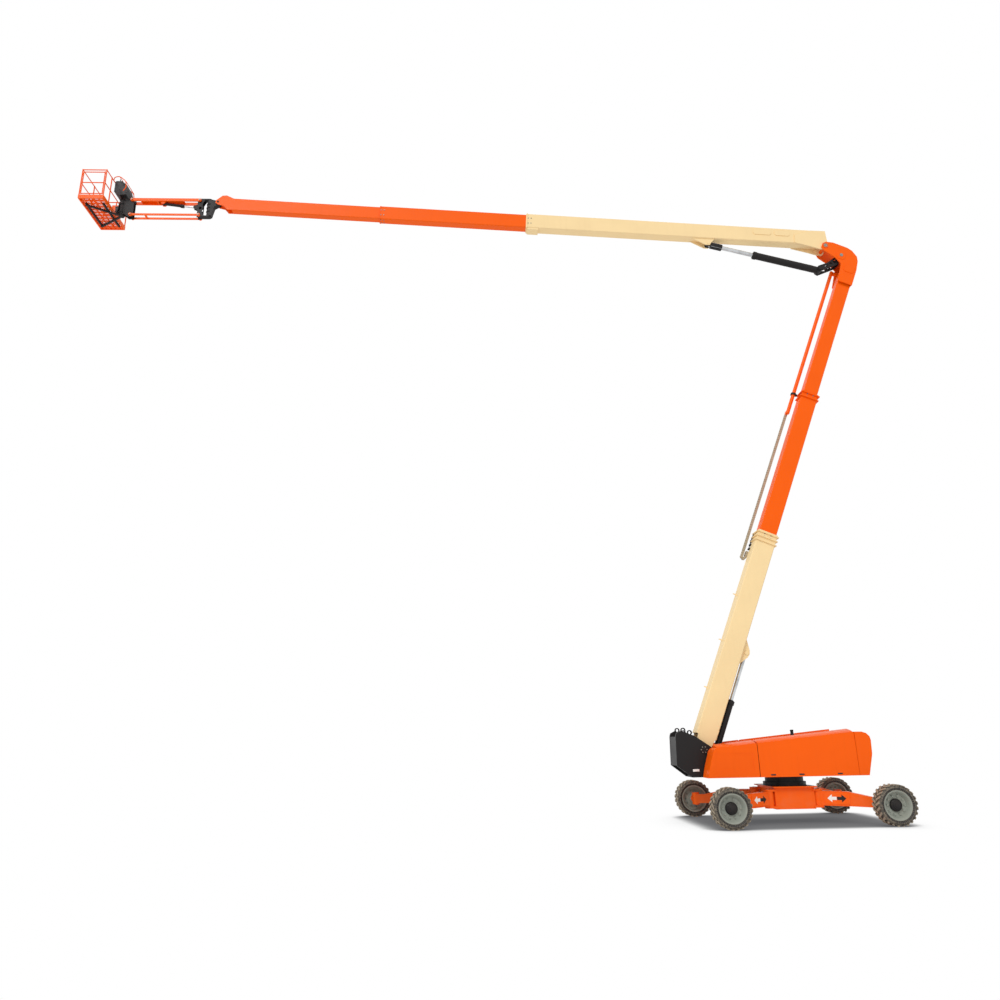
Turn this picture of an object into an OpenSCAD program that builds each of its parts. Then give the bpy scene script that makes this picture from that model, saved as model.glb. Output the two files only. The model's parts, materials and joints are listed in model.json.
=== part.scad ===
/* [Wheels and chassis] */
// Distance between front and rear wheel centres
wheelbase = 4790; // [4400:10:5200]
// Distance between left and right wheel centres, arms spread
track = 3990; // [3800:10:4200]
// Outer diameter of the tyres over the lugs
tyre_d = 1140; // [1060:10:1200]
// Width of the tyres
tyre_w = 445; // [380:5:480]
// Diameter of the rim inside the tyre
rim_d = 820; // [760:10:860]
// Height of the centre frame's top above the ground
frame_top = 1050; // [1020:5:1100]
// Height of the centre frame's underside above the ground
frame_low = 400; // [360:5:440]
// Distance of a swing arm's pivot from the slew axis, fore and aft
arm_pivot_x = 760; // [700:10:820]
// Distance of a swing arm's pivot from the slew axis, sideways
arm_pivot_y = 620; // [580:10:660]
// Distance from the wheel's middle plane to its kingpin
kingpin_offset = 425; // [415:5:450]
// Height of the tread lugs
lug_h = 24; // [10:1:40]
// Number of tread lugs on each side of a tyre
lug_count = 24; // [16:1:28]

/* [Turntable] */
// Height of the hoods' lower edge above the ground
deck_top = 1340; // [1320:5:1360]
// Thickness of the turntable bedplate
deck_t = 40; // [30:5:60]
// Half width over the hoods
hood_half = 1050; // [1000:10:1100]
// Half width of the channel between the hoods
channel_half = 480; // [460:5:520]
// Thickness of the hood walls
hood_t = 25; // [15:1:35]
// Gap between neighbouring hood panels
panel_gap = 12; // [8:1:16]
// Outer radius of the slewing ring
ring_r = 640; // [600:10:680]

/* [Tower boom] */
// Height of the tower's foot pin above the ground
tower_pin_z = 2150; // [2130:5:2170]
// Distance of the tower's foot pin in front of the slew axis
tower_pin_x = 2566; // [2540:2:2590]
// Angle of the tower above the ground as it stands
tower_angle = 67.3; // [66:0.1:68]
// Distance from the foot pin to the base section's mouth
tower_base_len = 7590; // [7300:10:7900]
// Length of the middle section outside the base
tower_mid_out = 5640; // [5500:10:5800]
// Length of the top section outside the middle
tower_fly_out = 5360; // [5300:10:5450]
// Height of the tower's base section
tower_h = 660; // [640:5:680]
// Width of the tower's base section
tower_w = 520; // [500:5:540]
// Step in section height from one tower section to the next
tower_step = 76; // [70:2:84]
// Wall of the tower sections
tower_wall = 12; // [10:1:14]

/* [Main boom] */
// Angle of the main boom above level as it stands
main_angle = 3.4; // [3:0.1:4]
// Distance from the main pivot pin to the base section's mouth
main_base_len = 11540; // [11300:10:11800]
// Length of the middle section outside the base
main_mid_out = 5620; // [5550:10:5700]
// Length of the fly section outside the middle
main_fly_out = 5600; // [5550:10:5650]
// Height of the main boom's base section
main_h = 620; // [600:5:640]
// Width of the main boom's base section
main_w = 370; // [360:5:380]
// Step in section size from one main section to the next
main_step = 50; // [48:1:56]
// Wall of the main boom sections
main_wall = 10; // [8:1:11]

/* [Jib and platform] */
// Length of the jib arms between their pins
jib_len = 2540; // [2450:10:2600]
// Spacing of the jib's upper and lower pins
jib_rise = 660; // [640:5:680]
// Width of the platform along the boom
platform_l = 918; // [900:2:940]
// Width of the platform across the boom
platform_w = 1900; // [1800:10:2000]
// Height of the top rail above the platform floor
rail_h = 1250; // [1150:10:1280]
// Diameter of the rail tubes
rail_d = 42; // [36:1:48]

/* [Hidden] */
// Fits
run_gap = 0.3;
pin_gap = 0.05;
pad_gap = 0.3;

// Directions along and across the tower
tc = cos(tower_angle);
ts = sin(tower_angle);
// A point given along the tower and square off its upper side, in the side view
function tower_pt(s, p) = [-tower_pin_x + s * tc - p * ts, tower_pin_z + s * ts + p * tc];

// Tower sections
tower_mid_h = tower_h - tower_step;
tower_mid_w = tower_w - tower_step;
tower_fly_h = tower_mid_h - tower_step;
tower_fly_w = tower_mid_w - tower_step;
tower_inside = 1100;
tower_mid_end = tower_base_len + tower_mid_out;
tower_fly_end = tower_mid_end + tower_fly_out;
pad_len = 220;
collar_t = 26;
collar_rise = 50;

// Tower foot and lift cylinder
foot_pin_r = 70;
upright_in = 330;
upright_t = 70;
lift_base = [-2324, 1500];
lift_lug_s = 3430;
lift_lug_p = -480;
lift_lug = tower_pt(lift_lug_s, lift_lug_p);
lift_barrel_r = 102;
lift_rod_r = 58;
lift_barrel_len = 2300;

// Knuckle at the tower's head
main_pin = tower_pt(tower_fly_end + 836, 1110);
anchor_pin = tower_pt(tower_fly_end - 130, 1018);
head_pin = tower_pt(tower_fly_end + 657, 434);
cheek_in = 240;
cheek_t = 40;
main_pin_r = 65;
anchor_in = 138;
anchor_t = 40;

// Main boom sections, in the boom's own frame: -x runs to the platform from the pivot
main_drop = 410;
main_mid_h = main_h - main_step;
main_mid_w = main_w - main_step;
main_fly_h = main_mid_h - main_step;
main_fly_w = main_mid_w - main_step;
main_inside = 1300;
main_mid_end = main_base_len + main_mid_out;
main_fly_end = main_mid_end + main_fly_out;
ma = main_angle;
function main_pt(s, p) =
    [main_pin[0] - s * cos(ma) + p * sin(ma), main_pin[1] + s * sin(ma) + p * cos(ma)];
rod_lug_s = 4500;
rod_lug_p = -75;
rod_lug = main_pt(rod_lug_s, rod_lug_p);
rod_lug_in = 100;
main_barrel_r = 128;
main_rod_r = 76;

// Jib, worked out from the boom's nose
nose_pin = main_pt(main_fly_end + 560, main_drop + 70);
jib_rear = [nose_pin[0] - 690, nose_pin[1] + 70];
jib_front = [jib_rear[0] - jib_len, jib_rear[1]];
jib_low = jib_rear[1] - jib_rise;
swing_x = nose_pin[0] - 340;
jib_upper_h = 115;
jib_lower_h = 70;
jib_bar_w = 40;
jib_half = 122;
rotator_x = jib_front[0] - 360;

// Platform
platform_x1 = rotator_x - 290;
platform_x0 = platform_x1 - platform_l;
floor_z = jib_low + 75;
rail_top = floor_z + rail_h;

// Side outline of the knuckle's cheeks, along and across the tower from its top end
cheek_outline = [for (q = [
    [-468, -280], [230, -280], [640, -230], [830, -150], [1010, 90], [1070, 300], [1080, 860],
    [1010, 1130], [900, 1235], [740, 1235], [620, 1120], [470, 620], [300, 350], [-468, 262]
]) tower_pt(tower_fly_end + q[0], q[1])];

// The whole part sits with its box centred on the origin
reach_front = platform_x0;
reach_rear = max([for (q = cheek_outline) q[0]]);
frame_shift = -(reach_front + reach_rear) / 2;

// Paint
orange = [1.0, 0.36, 0.02];
cream = [0.99, 0.86, 0.62];
black = [0.12, 0.115, 0.115];
chrome = [0.75, 0.76, 0.77];
grey = [0.5, 0.52, 0.5];
rubber = [0.16, 0.15, 0.14];

// Basic shapes: a plate outlined in the side view, and a pin across
module side_plate(points, y0, y1) {
    translate([0, y1, 0]) rotate([90, 0, 0]) linear_extrude(y1 - y0) polygon(points);
}

module cross_pin(at, r, y0, y1) {
    translate([at[0], y1, at[1]]) rotate([90, 0, 0]) cylinder(h = y1 - y0, r = r, $fn = 48);
}

module both_sides() {
    children();
    mirror([0, 1, 0]) children();
}

// Frames of the two booms
module on_tower() {
    translate([-tower_pin_x, 0, tower_pin_z]) rotate([0, -tower_angle, 0]) children();
}

module on_main() {
    translate([main_pin[0], 0, main_pin[1]]) rotate([0, main_angle, 0]) children();
}

// Box section with bevelled edges, along x from x0 to x1
function bevelled(w, h, b) = [
    [w / 2 - b, -h / 2], [w / 2, -h / 2 + b], [w / 2, h / 2 - b], [w / 2 - b, h / 2],
    [-w / 2 + b, h / 2], [-w / 2, h / 2 - b], [-w / 2, -h / 2 + b], [-w / 2 + b, -h / 2]
];

module bevelled_bar(x0, x1, w, h, b) {
    translate([x0, 0, 0]) rotate([90, 0, 90]) linear_extrude(x1 - x0) polygon(bevelled(w, h, b));
}

module box_tube(x0, x1, w, h, wall, b) {
    difference() {
        bevelled_bar(x0, x1, w, h, b);
        bevelled_bar(x0 - 1, x1 + 1, w - 2 * wall, h - 2 * wall, b * 0.8);
    }
}

// Four wear pads on the outside of a section or the inside of a mouth, all as one ring of blocks
module pads(x0, x1, w, h, gap, outwards) {
    t = gap - pad_gap;
    shift = outwards ? t / 2 : -t / 2;
    for (s = [-1, 1]) {
        translate([(x0 + x1) / 2, 0, s * (h / 2 + shift)]) cube([x1 - x0, w * 0.55, t], center = true);
        translate([(x0 + x1) / 2, s * (w / 2 + shift), 0]) cube([x1 - x0, t, h * 0.55], center = true);
    }
}

// Chassis
arm_root_r = 140;
frame_half_x = arm_pivot_x - arm_root_r - 10;
frame_half_y = arm_pivot_y + 120;
flange = 120;
tie_down_r = 30;
arm_pin_r = 60;
arm_z0 = frame_low + 90;
arm_z1 = frame_top - 140;
ear_t = 60;
ear_r = 150;
arm_tip_r = 105;
arm_tip_flat = 240;
doubler_half = 122;
doubler_len = 720;
kingpin_y = track / 2 - kingpin_offset;
kingpin_x = wheelbase / 2;
arm_len = norm([kingpin_x - arm_pivot_x, kingpin_y - arm_pivot_y]);
arm_turn = atan2(kingpin_y - arm_pivot_y, kingpin_x - arm_pivot_x);
wheel_z = tyre_d / 2;
arm_tip_z0 = wheel_z - 120;
arm_tip_z1 = wheel_z + 150;
yoke_t = 45;
kingpin_r = 45;
hub_r = 150;

module chassis_frame() {
    color(orange) difference() {
        union() {
            translate([-frame_half_x, -frame_half_y, frame_low])
                cube([2 * frame_half_x, 2 * frame_half_y, frame_top - frame_low]);
            translate([-frame_half_x - 60, -frame_half_y - flange, frame_top - 30])
                cube([2 * frame_half_x + 120, 2 * (frame_half_y + flange), 30]);
            for (sx = [-1, 1], sy = [-1, 1], z = [arm_z0 - ear_t - run_gap, arm_z1 + run_gap])
                translate([sx * arm_pivot_x, sy * arm_pivot_y, z]) {
                    cylinder(h = ear_t, r = ear_r, $fn = 64);
                    translate([sx > 0 ? -ear_r - 60 : 0, -ear_r, 0]) cube([ear_r + 60, 2 * ear_r, ear_t]);
                }
            for (sx = [-1, 1], sy = [-1, 1])
                translate([sx * arm_pivot_x, sy * arm_pivot_y, arm_z0 - ear_t])
                    cylinder(h = arm_z1 - arm_z0 + 2 * ear_t, r = arm_pin_r, $fn = 64);
        }
        for (sx = [-1, 1]) translate([sx * frame_half_x, 0, (frame_low + frame_top) / 2])
            rotate([0, 90, 0]) cylinder(h = 60, r = 170, center = true, $fn = 64);
        translate([0, 0, frame_low - 1]) cylinder(h = frame_top - frame_low + 2, r = 300, $fn = 64);
        for (sx = [-1, 1], sy = [-1, 1])
            translate([sx * (frame_half_x - 150), sy * (frame_half_y + flange / 2), frame_top - 31])
                cylinder(h = 32, r = tie_down_r, $fn = 48);
        translate([-frame_half_x + 25, -frame_half_y + 25, frame_low + 25])
            cube([2 * frame_half_x - 50, 2 * frame_half_y - 50, frame_top - frame_low - 65]);
    }
}

module slew_ring() {
    color(black) difference() {
        union() {
            translate([0, 0, frame_top]) cylinder(h = 110, r = ring_r, $fn = 96);
            translate([0, 0, frame_top + 109])
                cylinder(h = deck_top - frame_top - 109 - run_gap, r = ring_r - 70, $fn = 96);
        }
        translate([0, 0, frame_top - 1]) cylinder(h = deck_top - frame_top, r = 330, $fn = 64);
    }
}

// One swing arm with its root at the pivot, reaching along +x before it is turned out
module axle_arm() {
    color(orange) difference() {
        union() {
            translate([0, 0, arm_z0]) cylinder(h = arm_z1 - arm_z0, r = arm_root_r, $fn = 64);
            side_plate([
                [0, arm_z0], [0, arm_z1], [arm_len * 0.45, arm_z1 - 20],
                [arm_len - arm_tip_flat, arm_tip_z1],
                [arm_len, arm_tip_z1], [arm_len, arm_tip_z0], [arm_len * 0.5, arm_z0 - 10],
                [ear_r + 30, arm_z0]
            ], -arm_tip_r, arm_tip_r);
            translate([arm_len, 0, arm_tip_z0])
                cylinder(h = arm_tip_z1 - arm_tip_z0, r = arm_tip_r, $fn = 64);
            translate([arm_root_r + 40, -doubler_half, arm_z0 + 40])
                cube([doubler_len, 2 * doubler_half, arm_z1 - arm_z0 - 90]);
        }
        translate([0, 0, arm_z0 - 100])
            cylinder(h = arm_z1 - arm_z0 + 200, r = arm_pin_r + pin_gap, $fn = 64);
        translate([arm_len, 0, arm_tip_z0 - 100])
            cylinder(h = arm_tip_z1 - arm_tip_z0 + 200, r = kingpin_r + pin_gap, $fn = 48);
    }
}

// Yoke over and under the arm's tip with the wheel's spindle, at the kingpin, wheel towards +y
module steer_knuckle() {
    yoke_r = arm_tip_r - 10;
    spindle_y = kingpin_offset - tyre_w / 2 + 60;
    color(orange) {
        difference() {
            union() {
                for (z = [arm_tip_z0 - yoke_t - run_gap, arm_tip_z1 + run_gap]) translate([0, 0, z]) {
                    cylinder(h = yoke_t, r = yoke_r, $fn = 64);
                    translate([-yoke_r, 0, 0]) cube([2 * yoke_r, arm_tip_r + 12, yoke_t]);
                }
                translate([-yoke_r, arm_tip_r + 8, arm_tip_z0 - yoke_t - run_gap])
                    cube([2 * yoke_r, 60, arm_tip_z1 - arm_tip_z0 + 2 * yoke_t + 2 * run_gap]);
                translate([0, 0, arm_tip_z0 - yoke_t - 10])
                    cylinder(h = arm_tip_z1 - arm_tip_z0 + 2 * yoke_t + 20, r = kingpin_r, $fn = 48);
                translate([0, arm_tip_r + 60, wheel_z]) rotate([-90, 0, 0])
                    cylinder(h = spindle_y - arm_tip_r - 60, r = hub_r - 30, $fn = 64);
                translate([-yoke_r - 110, arm_tip_r + 8, wheel_z - 40]) cube([120, 40, 70]);
            }
        }
        translate([0, spindle_y - 1, wheel_z]) rotate([-90, 0, 0]) cylinder(h = 90, r = 70, $fn = 48);
    }
}

// Deep dished rim with a planetary hub, at the wheel's centre, outer face towards +y
module wheel_rim() {
    r = rim_d / 2;
    w = tyre_w;
    spindle_end = tyre_w / -2 + 60 + 89;
    color(grey) translate([0, 0, wheel_z]) difference() {
        rotate([-90, 0, 0]) rotate_extrude($fn = 96) polygon([
            [0, w * 0.30], [95, w * 0.30], [110, w * 0.26], [hub_r, w * 0.22], [hub_r + 25, w * 0.06],
            [r * 0.74, w * 0.10], [r * 0.86, w * 0.34], [r * 0.93, w * 0.43], [r, w * 0.45], [r, w * 0.40],
            [r - 14, w * 0.36], [r - 14, -w * 0.36], [r, -w * 0.40], [r, -w * 0.45], [r * 0.93, -w * 0.43],
            [r * 0.84, -w * 0.05], [r * 0.70, 0], [hub_r + 10, -w * 0.10], [hub_r - 10, -w / 2 + 62],
            [0, -w / 2 + 62]
        ]);
        translate([0, -w / 2, 0]) rotate([-90, 0, 0])
            cylinder(h = w / 2 + spindle_end + 3, r = 70 + pin_gap, $fn = 48);
        for (i = [0:9]) rotate([0, 36 * i, 0]) translate([r * 0.62, 0, 0]) rotate([90, 0, 0])
            cylinder(h = w, r = 24, center = true, $fn = 24);
    }
}

lug_t = 60;
lug_slant = 25;
lug_root = 30;

// Tyre body of revolution with two staggered rows of slanted lugs
module tyre() {
    r = rim_d / 2 + run_gap;
    body_r = tyre_d / 2 - lug_h;
    w = tyre_w / 2;
    color(rubber) translate([0, 0, wheel_z]) rotate([-90, 0, 0]) {
        rotate_extrude($fn = 96) polygon([
            [r, -w * 0.84], [body_r * 0.88, -w], [body_r, -w * 0.84],
            [body_r, w * 0.84], [body_r * 0.88, w], [r, w * 0.84]
        ]);
        intersection() {
            cylinder(h = 2 * w * 0.96, r = tyre_d / 2, center = true, $fn = 96);
            for (side = [0, 1], i = [0:lug_count - 1])
                mirror([0, 0, side]) rotate([0, 0, (i + side / 2) * 360 / lug_count])
                    translate([body_r - lug_root, 0, w * 0.03]) rotate([-lug_slant, 0, 0])
                        translate([0, -lug_t / 2, 0]) cube([lug_root + lug_h + 10, lug_t, w * 1.15]);
        }
    }
}

// Places for the four corners: front is -x, left is -y
module corner(sx, sy) {
    mirror([sx < 0 ? 1 : 0, 0, 0]) mirror([0, sy < 0 ? 1 : 0, 0]) children();
}

module arm_at(sx, sy) {
    corner(sx, sy) translate([arm_pivot_x, arm_pivot_y, 0]) rotate([0, 0, arm_turn]) axle_arm();
}

module knuckle_at(sx, sy) {
    corner(sx, sy) translate([kingpin_x, kingpin_y, 0]) steer_knuckle();
}

module wheel_at(sx, sy) {
    corner(sx, sy) translate([kingpin_x, track / 2, 0]) children();
}

// Turntable
cover_split = -1105;
rear_split = 1950;
hood_slope = 0.0941;
hood_top_mid = 2425;
function hood_top(x) = hood_top_mid + x * hood_slope;
hood_front = -2690;
hood_back = 2440;

module hood_outline() {
    polygon([
        [hood_front, deck_top], [hood_front + 60, deck_top + 260],
        [hood_front + 215, hood_top(-2475) - 105],
        [hood_front + 260, hood_top(-2430) - 45], [hood_front + 330, hood_top(-2360)],
        [rear_split + 20, hood_top(rear_split + 20)], [hood_back - 260, hood_top(hood_back - 260) - 22],
        [hood_back - 120, hood_top(hood_back - 120) - 80], [hood_back - 25, hood_top(hood_back) - 190],
        [hood_back, hood_top(hood_back) - 300], [hood_back - 20, 1950], [hood_back - 190, deck_top]
    ]);
}

// Outline across a hood, shrunk by t, outer top edge rounded off
module hood_section(t) {
    top = 2900;
    polygon([
        [-hood_half + t, deck_top - 50], [-hood_half + t, 2050], [-hood_half + 30 + t, top],
        [-channel_half - t, top], [-channel_half - t, deck_top - 50]
    ]);
}

module hood_solid(t) {
    intersection() {
        translate([0, -channel_half, 0]) rotate([90, 0, 0])
            linear_extrude(hood_half - channel_half) hood_outline();
        translate([-3200, 0, 0]) rotate([90, 0, 90]) linear_extrude(6400) hood_section(t);
    }
}

module hood_shell() {
    difference() {
        hood_solid(0);
        translate([0, 0, -hood_t]) hood_solid(hood_t);
    }
}

module x_slab(x0, x1) {
    translate([x0, -1400, deck_top - 200]) cube([x1 - x0, 2800, 2200]);
}

module front_cover() {
    color(orange) difference() {
        intersection() {
            hood_shell();
            x_slab(-3000, cover_split - panel_gap / 2);
        }
        translate([-2420, -hood_half - 1, deck_top + 180]) cube([1150, 9, 520]);
        translate([hood_front + 20, -channel_half - hood_t - 1, deck_top - 1])
            cube([cover_split - hood_front, hood_t + 2, deck_t + 1 + run_gap]);
    }
}

// The doors turn on a rod below their top skin, in line with the sloping top
hinge_y = channel_half + 60;
hinge_drop = 34;
door_ease = 8;
hinge_r = 12;
hinge_tube_r = 26;
wall_t = 15;
bracket_x = [-1060, -460, 700, 1850];

module on_hinge(x) {
    translate([x, -hinge_y, hood_top(x) - hinge_drop]) rotate([0, 90 - atan(hood_slope), 0]) children();
}

module hood_door() {
    color(orange) difference() {
        union() {
            intersection() {
                hood_shell();
                x_slab(cover_split + panel_gap / 2 + door_ease, rear_split - panel_gap / 2);
            }
            for (x = [-800, 300, 1400]) on_hinge(x) cylinder(h = 260, r = hinge_tube_r, $fn = 40);
        }
        translate([-1400, -channel_half - 34, deck_top - 100]) cube([3600, 60, 1400]);
        on_hinge(-1300) cylinder(h = 3400, r = hinge_r + pin_gap, $fn = 40);
        for (x = bracket_x) on_hinge(x - 8) translate([-60, -12, 0]) cube([130, 80, 40]);
        translate([90, -hood_half - 1, deck_top + 40]) cube([160, 12, 45]);
    }
}

// Inner wall of a hood with the door's hinge rod
module hood_wall() {
    side_plate([
        [cover_split + panel_gap, deck_top + 1], [cover_split + panel_gap, hood_top(cover_split) - 60],
        [rear_split - panel_gap, hood_top(rear_split) - 60], [rear_split - panel_gap, deck_top + 1]
    ], -channel_half - wall_t, -channel_half);
    for (x = bracket_x) on_hinge(x) translate([-8, -4, 0]) cube([70, hinge_y - channel_half, 24]);
    on_hinge(-1070) cylinder(h = 2960, r = hinge_r, $fn = 40);
}

module counterweight() {
    color(orange) difference() {
        intersection() {
            translate([0, hood_half, 0]) rotate([90, 0, 0]) linear_extrude(2 * hood_half) hood_outline();
            x_slab(rear_split + panel_gap / 2, 2700);
        }
        translate([1800, -channel_half, 1700]) cube([900, 2 * channel_half, 1300]);
        for (s = [-1, 1]) translate([hood_back - 40, s * 780 - 90, 1640]) cube([80, 180, 120]);
    }
}

module engine_block() {
    color(grey) {
        translate([-700, channel_half + 90, deck_top + deck_t]) cube([1500, 400, 620]);
        translate([-500, channel_half + 150, deck_top + deck_t + 619]) cube([900, 260, 120]);
    }
}

// Bedplate, channel walls, tower uprights with lifting rings and the lift cylinder's foot
upright = [
    [-3425, 2553], [-3395, 2650], [-3247, 2723], [-2842, 2575], [-2330, 2230], [-2300, 2166],
    [-2480, deck_top], [-2993, deck_top], [-3450, 1687]
];
lift_ring = [[-3170, 2740], [-2970, 2667]];
bed_front = hood_front + 40;
bed_back = rear_split + panel_gap / 2 - run_gap;
tongue_front = -2990;
ring_out = 75;
ring_bore = 45;

module turntable_frame() {
    color(black) difference() {
        union() {
            translate([bed_front, -hood_half + hood_t + 20, deck_top])
                cube([bed_back - bed_front, 2 * (hood_half - hood_t - 20), deck_t]);
            translate([tongue_front, -upright_in - upright_t - 20, deck_top])
                cube([bed_front - tongue_front + 1, 2 * (upright_in + upright_t + 20), deck_t]);
            both_sides() {
                side_plate(upright, upright_in, upright_in + upright_t);
                side_plate([
                    [-2500, deck_top + 1], [-2500, 1900], [-1200, 1700], [1900, 1700], [1900, deck_top + 1]
                ], channel_half - 60, channel_half - 35);
                for (p = lift_ring) cross_pin(p, ring_out, upright_in, upright_in + upright_t);
                side_plate([[-2480, deck_top + 1], [-2480, lift_base[1]], [-2400, lift_base[1] + 120],
                    [-2250, lift_base[1] + 120], [-2150, lift_base[1]], [-2100, deck_top + 1]], 160, 200);
                hood_wall();
                cross_pin(lift_base, 60, 200, 230);
                cross_pin([-tower_pin_x, tower_pin_z], foot_pin_r + 45, upright_in + upright_t - 1,
                    upright_in + upright_t + 20);
            }
            side_plate([[-3449, 1690], [-3424, 2550], [-3384, 2550], [-3409, 1690]],
                -upright_in - 1, upright_in + 1);
            cross_pin([-tower_pin_x, tower_pin_z], foot_pin_r, -upright_in - 1, upright_in + 1);
            cross_pin(lift_base, 45, -161, 161);
        }
        both_sides() for (p = lift_ring)
            cross_pin(p, ring_bore, upright_in - 5, upright_in + upright_t + 5);
        translate([0, 0, deck_top - 10]) cylinder(h = deck_t + 20, r = 250, $fn = 64);
    }
}

// Tower boom
module tower_base() {
    foot = 420;
    color(cream) on_tower() difference() {
        union() {
            box_tube(foot, tower_base_len, tower_w, tower_h, tower_wall, 24);
            for (i = [0:2]) difference() {
                x = tower_base_len - 60 - i * 150;
                bevelled_bar(x - collar_t, x, tower_w + 2 * collar_rise, tower_h + 2 * collar_rise, 30);
                bevelled_bar(x - collar_t - 1, x + 1, tower_w - 2, tower_h - 2, 24);
            }
            pads(tower_base_len - pad_len, tower_base_len,
                tower_w - 2 * tower_wall, tower_h - 2 * tower_wall, tower_step / 2 - tower_wall, false);
            for (s = [-1, 1]) translate([0, s * (tower_w / 2 - 30), 0]) rotate([90, 0, 0])
                linear_extrude(60, center = true) polygon([
                    [-170, -150], [-90, -200], [foot + 300, -tower_h / 2], [foot + 300, tower_h / 2],
                    [-40, 190], [-150, 120]
                ]);
            difference() {
                rotate([90, 0, 0])
                    cylinder(h = 2 * (upright_in - run_gap), r = 150, center = true, $fn = 64);
                rotate([90, 0, 0]) cylinder(h = tower_w - 60, r = 151, center = true, $fn = 64);
            }
            for (s = [-1, 1]) translate([0, s * 100, 0]) rotate([90, 0, 0]) linear_extrude(40, center = true)
                polygon([
                    [lift_lug_s - 480, -tower_h / 2 + 2], [lift_lug_s - 130, lift_lug_p - 80],
                    [lift_lug_s, lift_lug_p - 110], [lift_lug_s + 110, lift_lug_p - 80],
                    [lift_lug_s + 470, -tower_h / 2 + 2]
                ]);
            for (s = [-1, 1]) translate([lift_lug_s, s * 120, lift_lug_p]) rotate([90, 0, 0])
                cylinder(h = 40, r = 70, center = true, $fn = 48);
        }
        rotate([90, 0, 0]) cylinder(h = 900, r = foot_pin_r + pin_gap, center = true, $fn = 64);
    }
}

module tower_mid() {
    color(orange) on_tower() {
        gap = tower_step / 2 - tower_wall;
        x0 = tower_base_len - tower_inside;
        box_tube(x0, tower_mid_end, tower_mid_w, tower_mid_h, tower_wall, 20);
        pads(x0, x0 + pad_len, tower_mid_w, tower_mid_h, gap, true);
        pads(tower_mid_end - pad_len, tower_mid_end,
            tower_mid_w - 2 * tower_wall, tower_mid_h - 2 * tower_wall, gap, false);
        for (i = [0:1]) difference() {
            x = tower_mid_end - 50 - i * 170;
            bevelled_bar(x - collar_t, x, tower_mid_w + 2 * collar_rise, tower_mid_h + 2 * collar_rise, 26);
            bevelled_bar(x - collar_t - 1, x + 1, tower_mid_w - 2, tower_mid_h - 2, 20);
        }
    }
}

module tower_fly() {
    color(orange) difference() {
        union() {
            on_tower() {
                x0 = tower_mid_end - tower_inside;
                box_tube(x0, tower_fly_end + 60, tower_fly_w, tower_fly_h, tower_wall, 18);
                pads(x0, x0 + pad_len, tower_fly_w, tower_fly_h, tower_step / 2 - tower_wall, true);
            }
            both_sides() {
                head_cheek();
                cross_pin(main_pin, main_pin_r + 40, cheek_in + cheek_t - 1, cheek_in + cheek_t + 18);
                cross_pin(head_pin, 70, cheek_in + cheek_t - 1, cheek_in + cheek_t + 14);
            }
            cross_pin(main_pin, main_pin_r, -cheek_in - 1, cheek_in + 1);
            head_back();
            on_tower() translate([tower_fly_end - 450, -cheek_in - 1, -tower_fly_h / 2 - 24])
                cube([490, 2 * cheek_in + 2, 25]);
        }
    }
}

// Side cheek of the knuckle: from the tower's top over to the main pin
module head_cheek() {
    side_plate(cheek_outline, cheek_in, cheek_in + cheek_t);
}

// Curved back plate that closes the knuckle between its cheeks
module head_back() {
    side_plate([for (q = [
        [-100, -279], [230, -279], [640, -229], [830, -149], [1009, 90], [1069, 300],
        [1030, 310], [975, 110], [805, -110], [630, -190], [230, -240], [-100, -240]
    ]) tower_pt(tower_fly_end + q[0], q[1])], -cheek_in - 1, cheek_in + 1);
}

// Tube that carries hoses to the knuckle, on the far side of the tower's upper face
conduit_y = 215;
conduit_p = 470;
conduit_r = 65;
conduit_end = tower_mid_end - 880;
conduit_top = 170;

// The carrier hangs beside the conduit, clear of the collars
chain_y = conduit_y + 170;
chain_w = 110;
chain_t = 80;
chain_bend = 60;
chain_low = tower_base_len - 940;
chain_fix = tower_base_len - 700;

module tower_conduit() {
    color(orange) on_tower() {
        translate([conduit_end, conduit_y, conduit_p]) rotate([0, 90, 0])
            cylinder(h = tower_fly_end + conduit_top - conduit_end, r = conduit_r, $fn = 40);
        translate([tower_fly_end + conduit_top - 130, conduit_y - 60, tower_fly_h / 2 + 16])
            cube([120, cheek_in - run_gap - conduit_y + 60, conduit_p - conduit_r - tower_fly_h / 2 - 11]);
        translate([conduit_end, conduit_y + conduit_r - 10, conduit_p - chain_t / 2])
            cube([160, chain_y + chain_w / 2 - conduit_y - conduit_r + 10, chain_t]);
    }
}

// Cable carrier: a run of links hanging from the conduit and turning back to the tower's base
module cable_chain() {
    pitch = 130;
    count = floor((conduit_end - chain_low) / pitch);
    back = 2 * chain_bend;
    color(grey) on_tower() translate([0, chain_y, 0]) {
        for (i = [0:count - 1])
            translate([conduit_end - (i + 1) * pitch, -chain_w / 2, conduit_p - chain_t / 2])
                cube([pitch - 14, chain_w, chain_t]);
        translate([chain_low, -chain_w / 2 + 15, conduit_p - chain_t / 2 + 15])
            cube([conduit_end - chain_low - run_gap, chain_w - 30, chain_t - 30]);
        translate([chain_low, 0, conduit_p - chain_bend]) rotate([90, 0, 0]) difference() {
            cylinder(h = chain_w, r = chain_bend + chain_t / 2, center = true, $fn = 48);
            cylinder(h = chain_w + 2, r = chain_bend - chain_t / 2, center = true, $fn = 48);
            translate([0, -300, -300]) cube([300, 600, 600]);
        }
        translate([chain_low - 1, -chain_w / 2, conduit_p - back - chain_t / 2])
            cube([chain_fix - chain_low, chain_w, chain_t]);
        translate([chain_fix - 160, tower_w / 2 + run_gap - chain_y, conduit_p - back - chain_t / 2 - 160])
            cube([150, chain_y + chain_w / 2 - tower_w / 2 - run_gap, 165]);
    }
}

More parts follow.
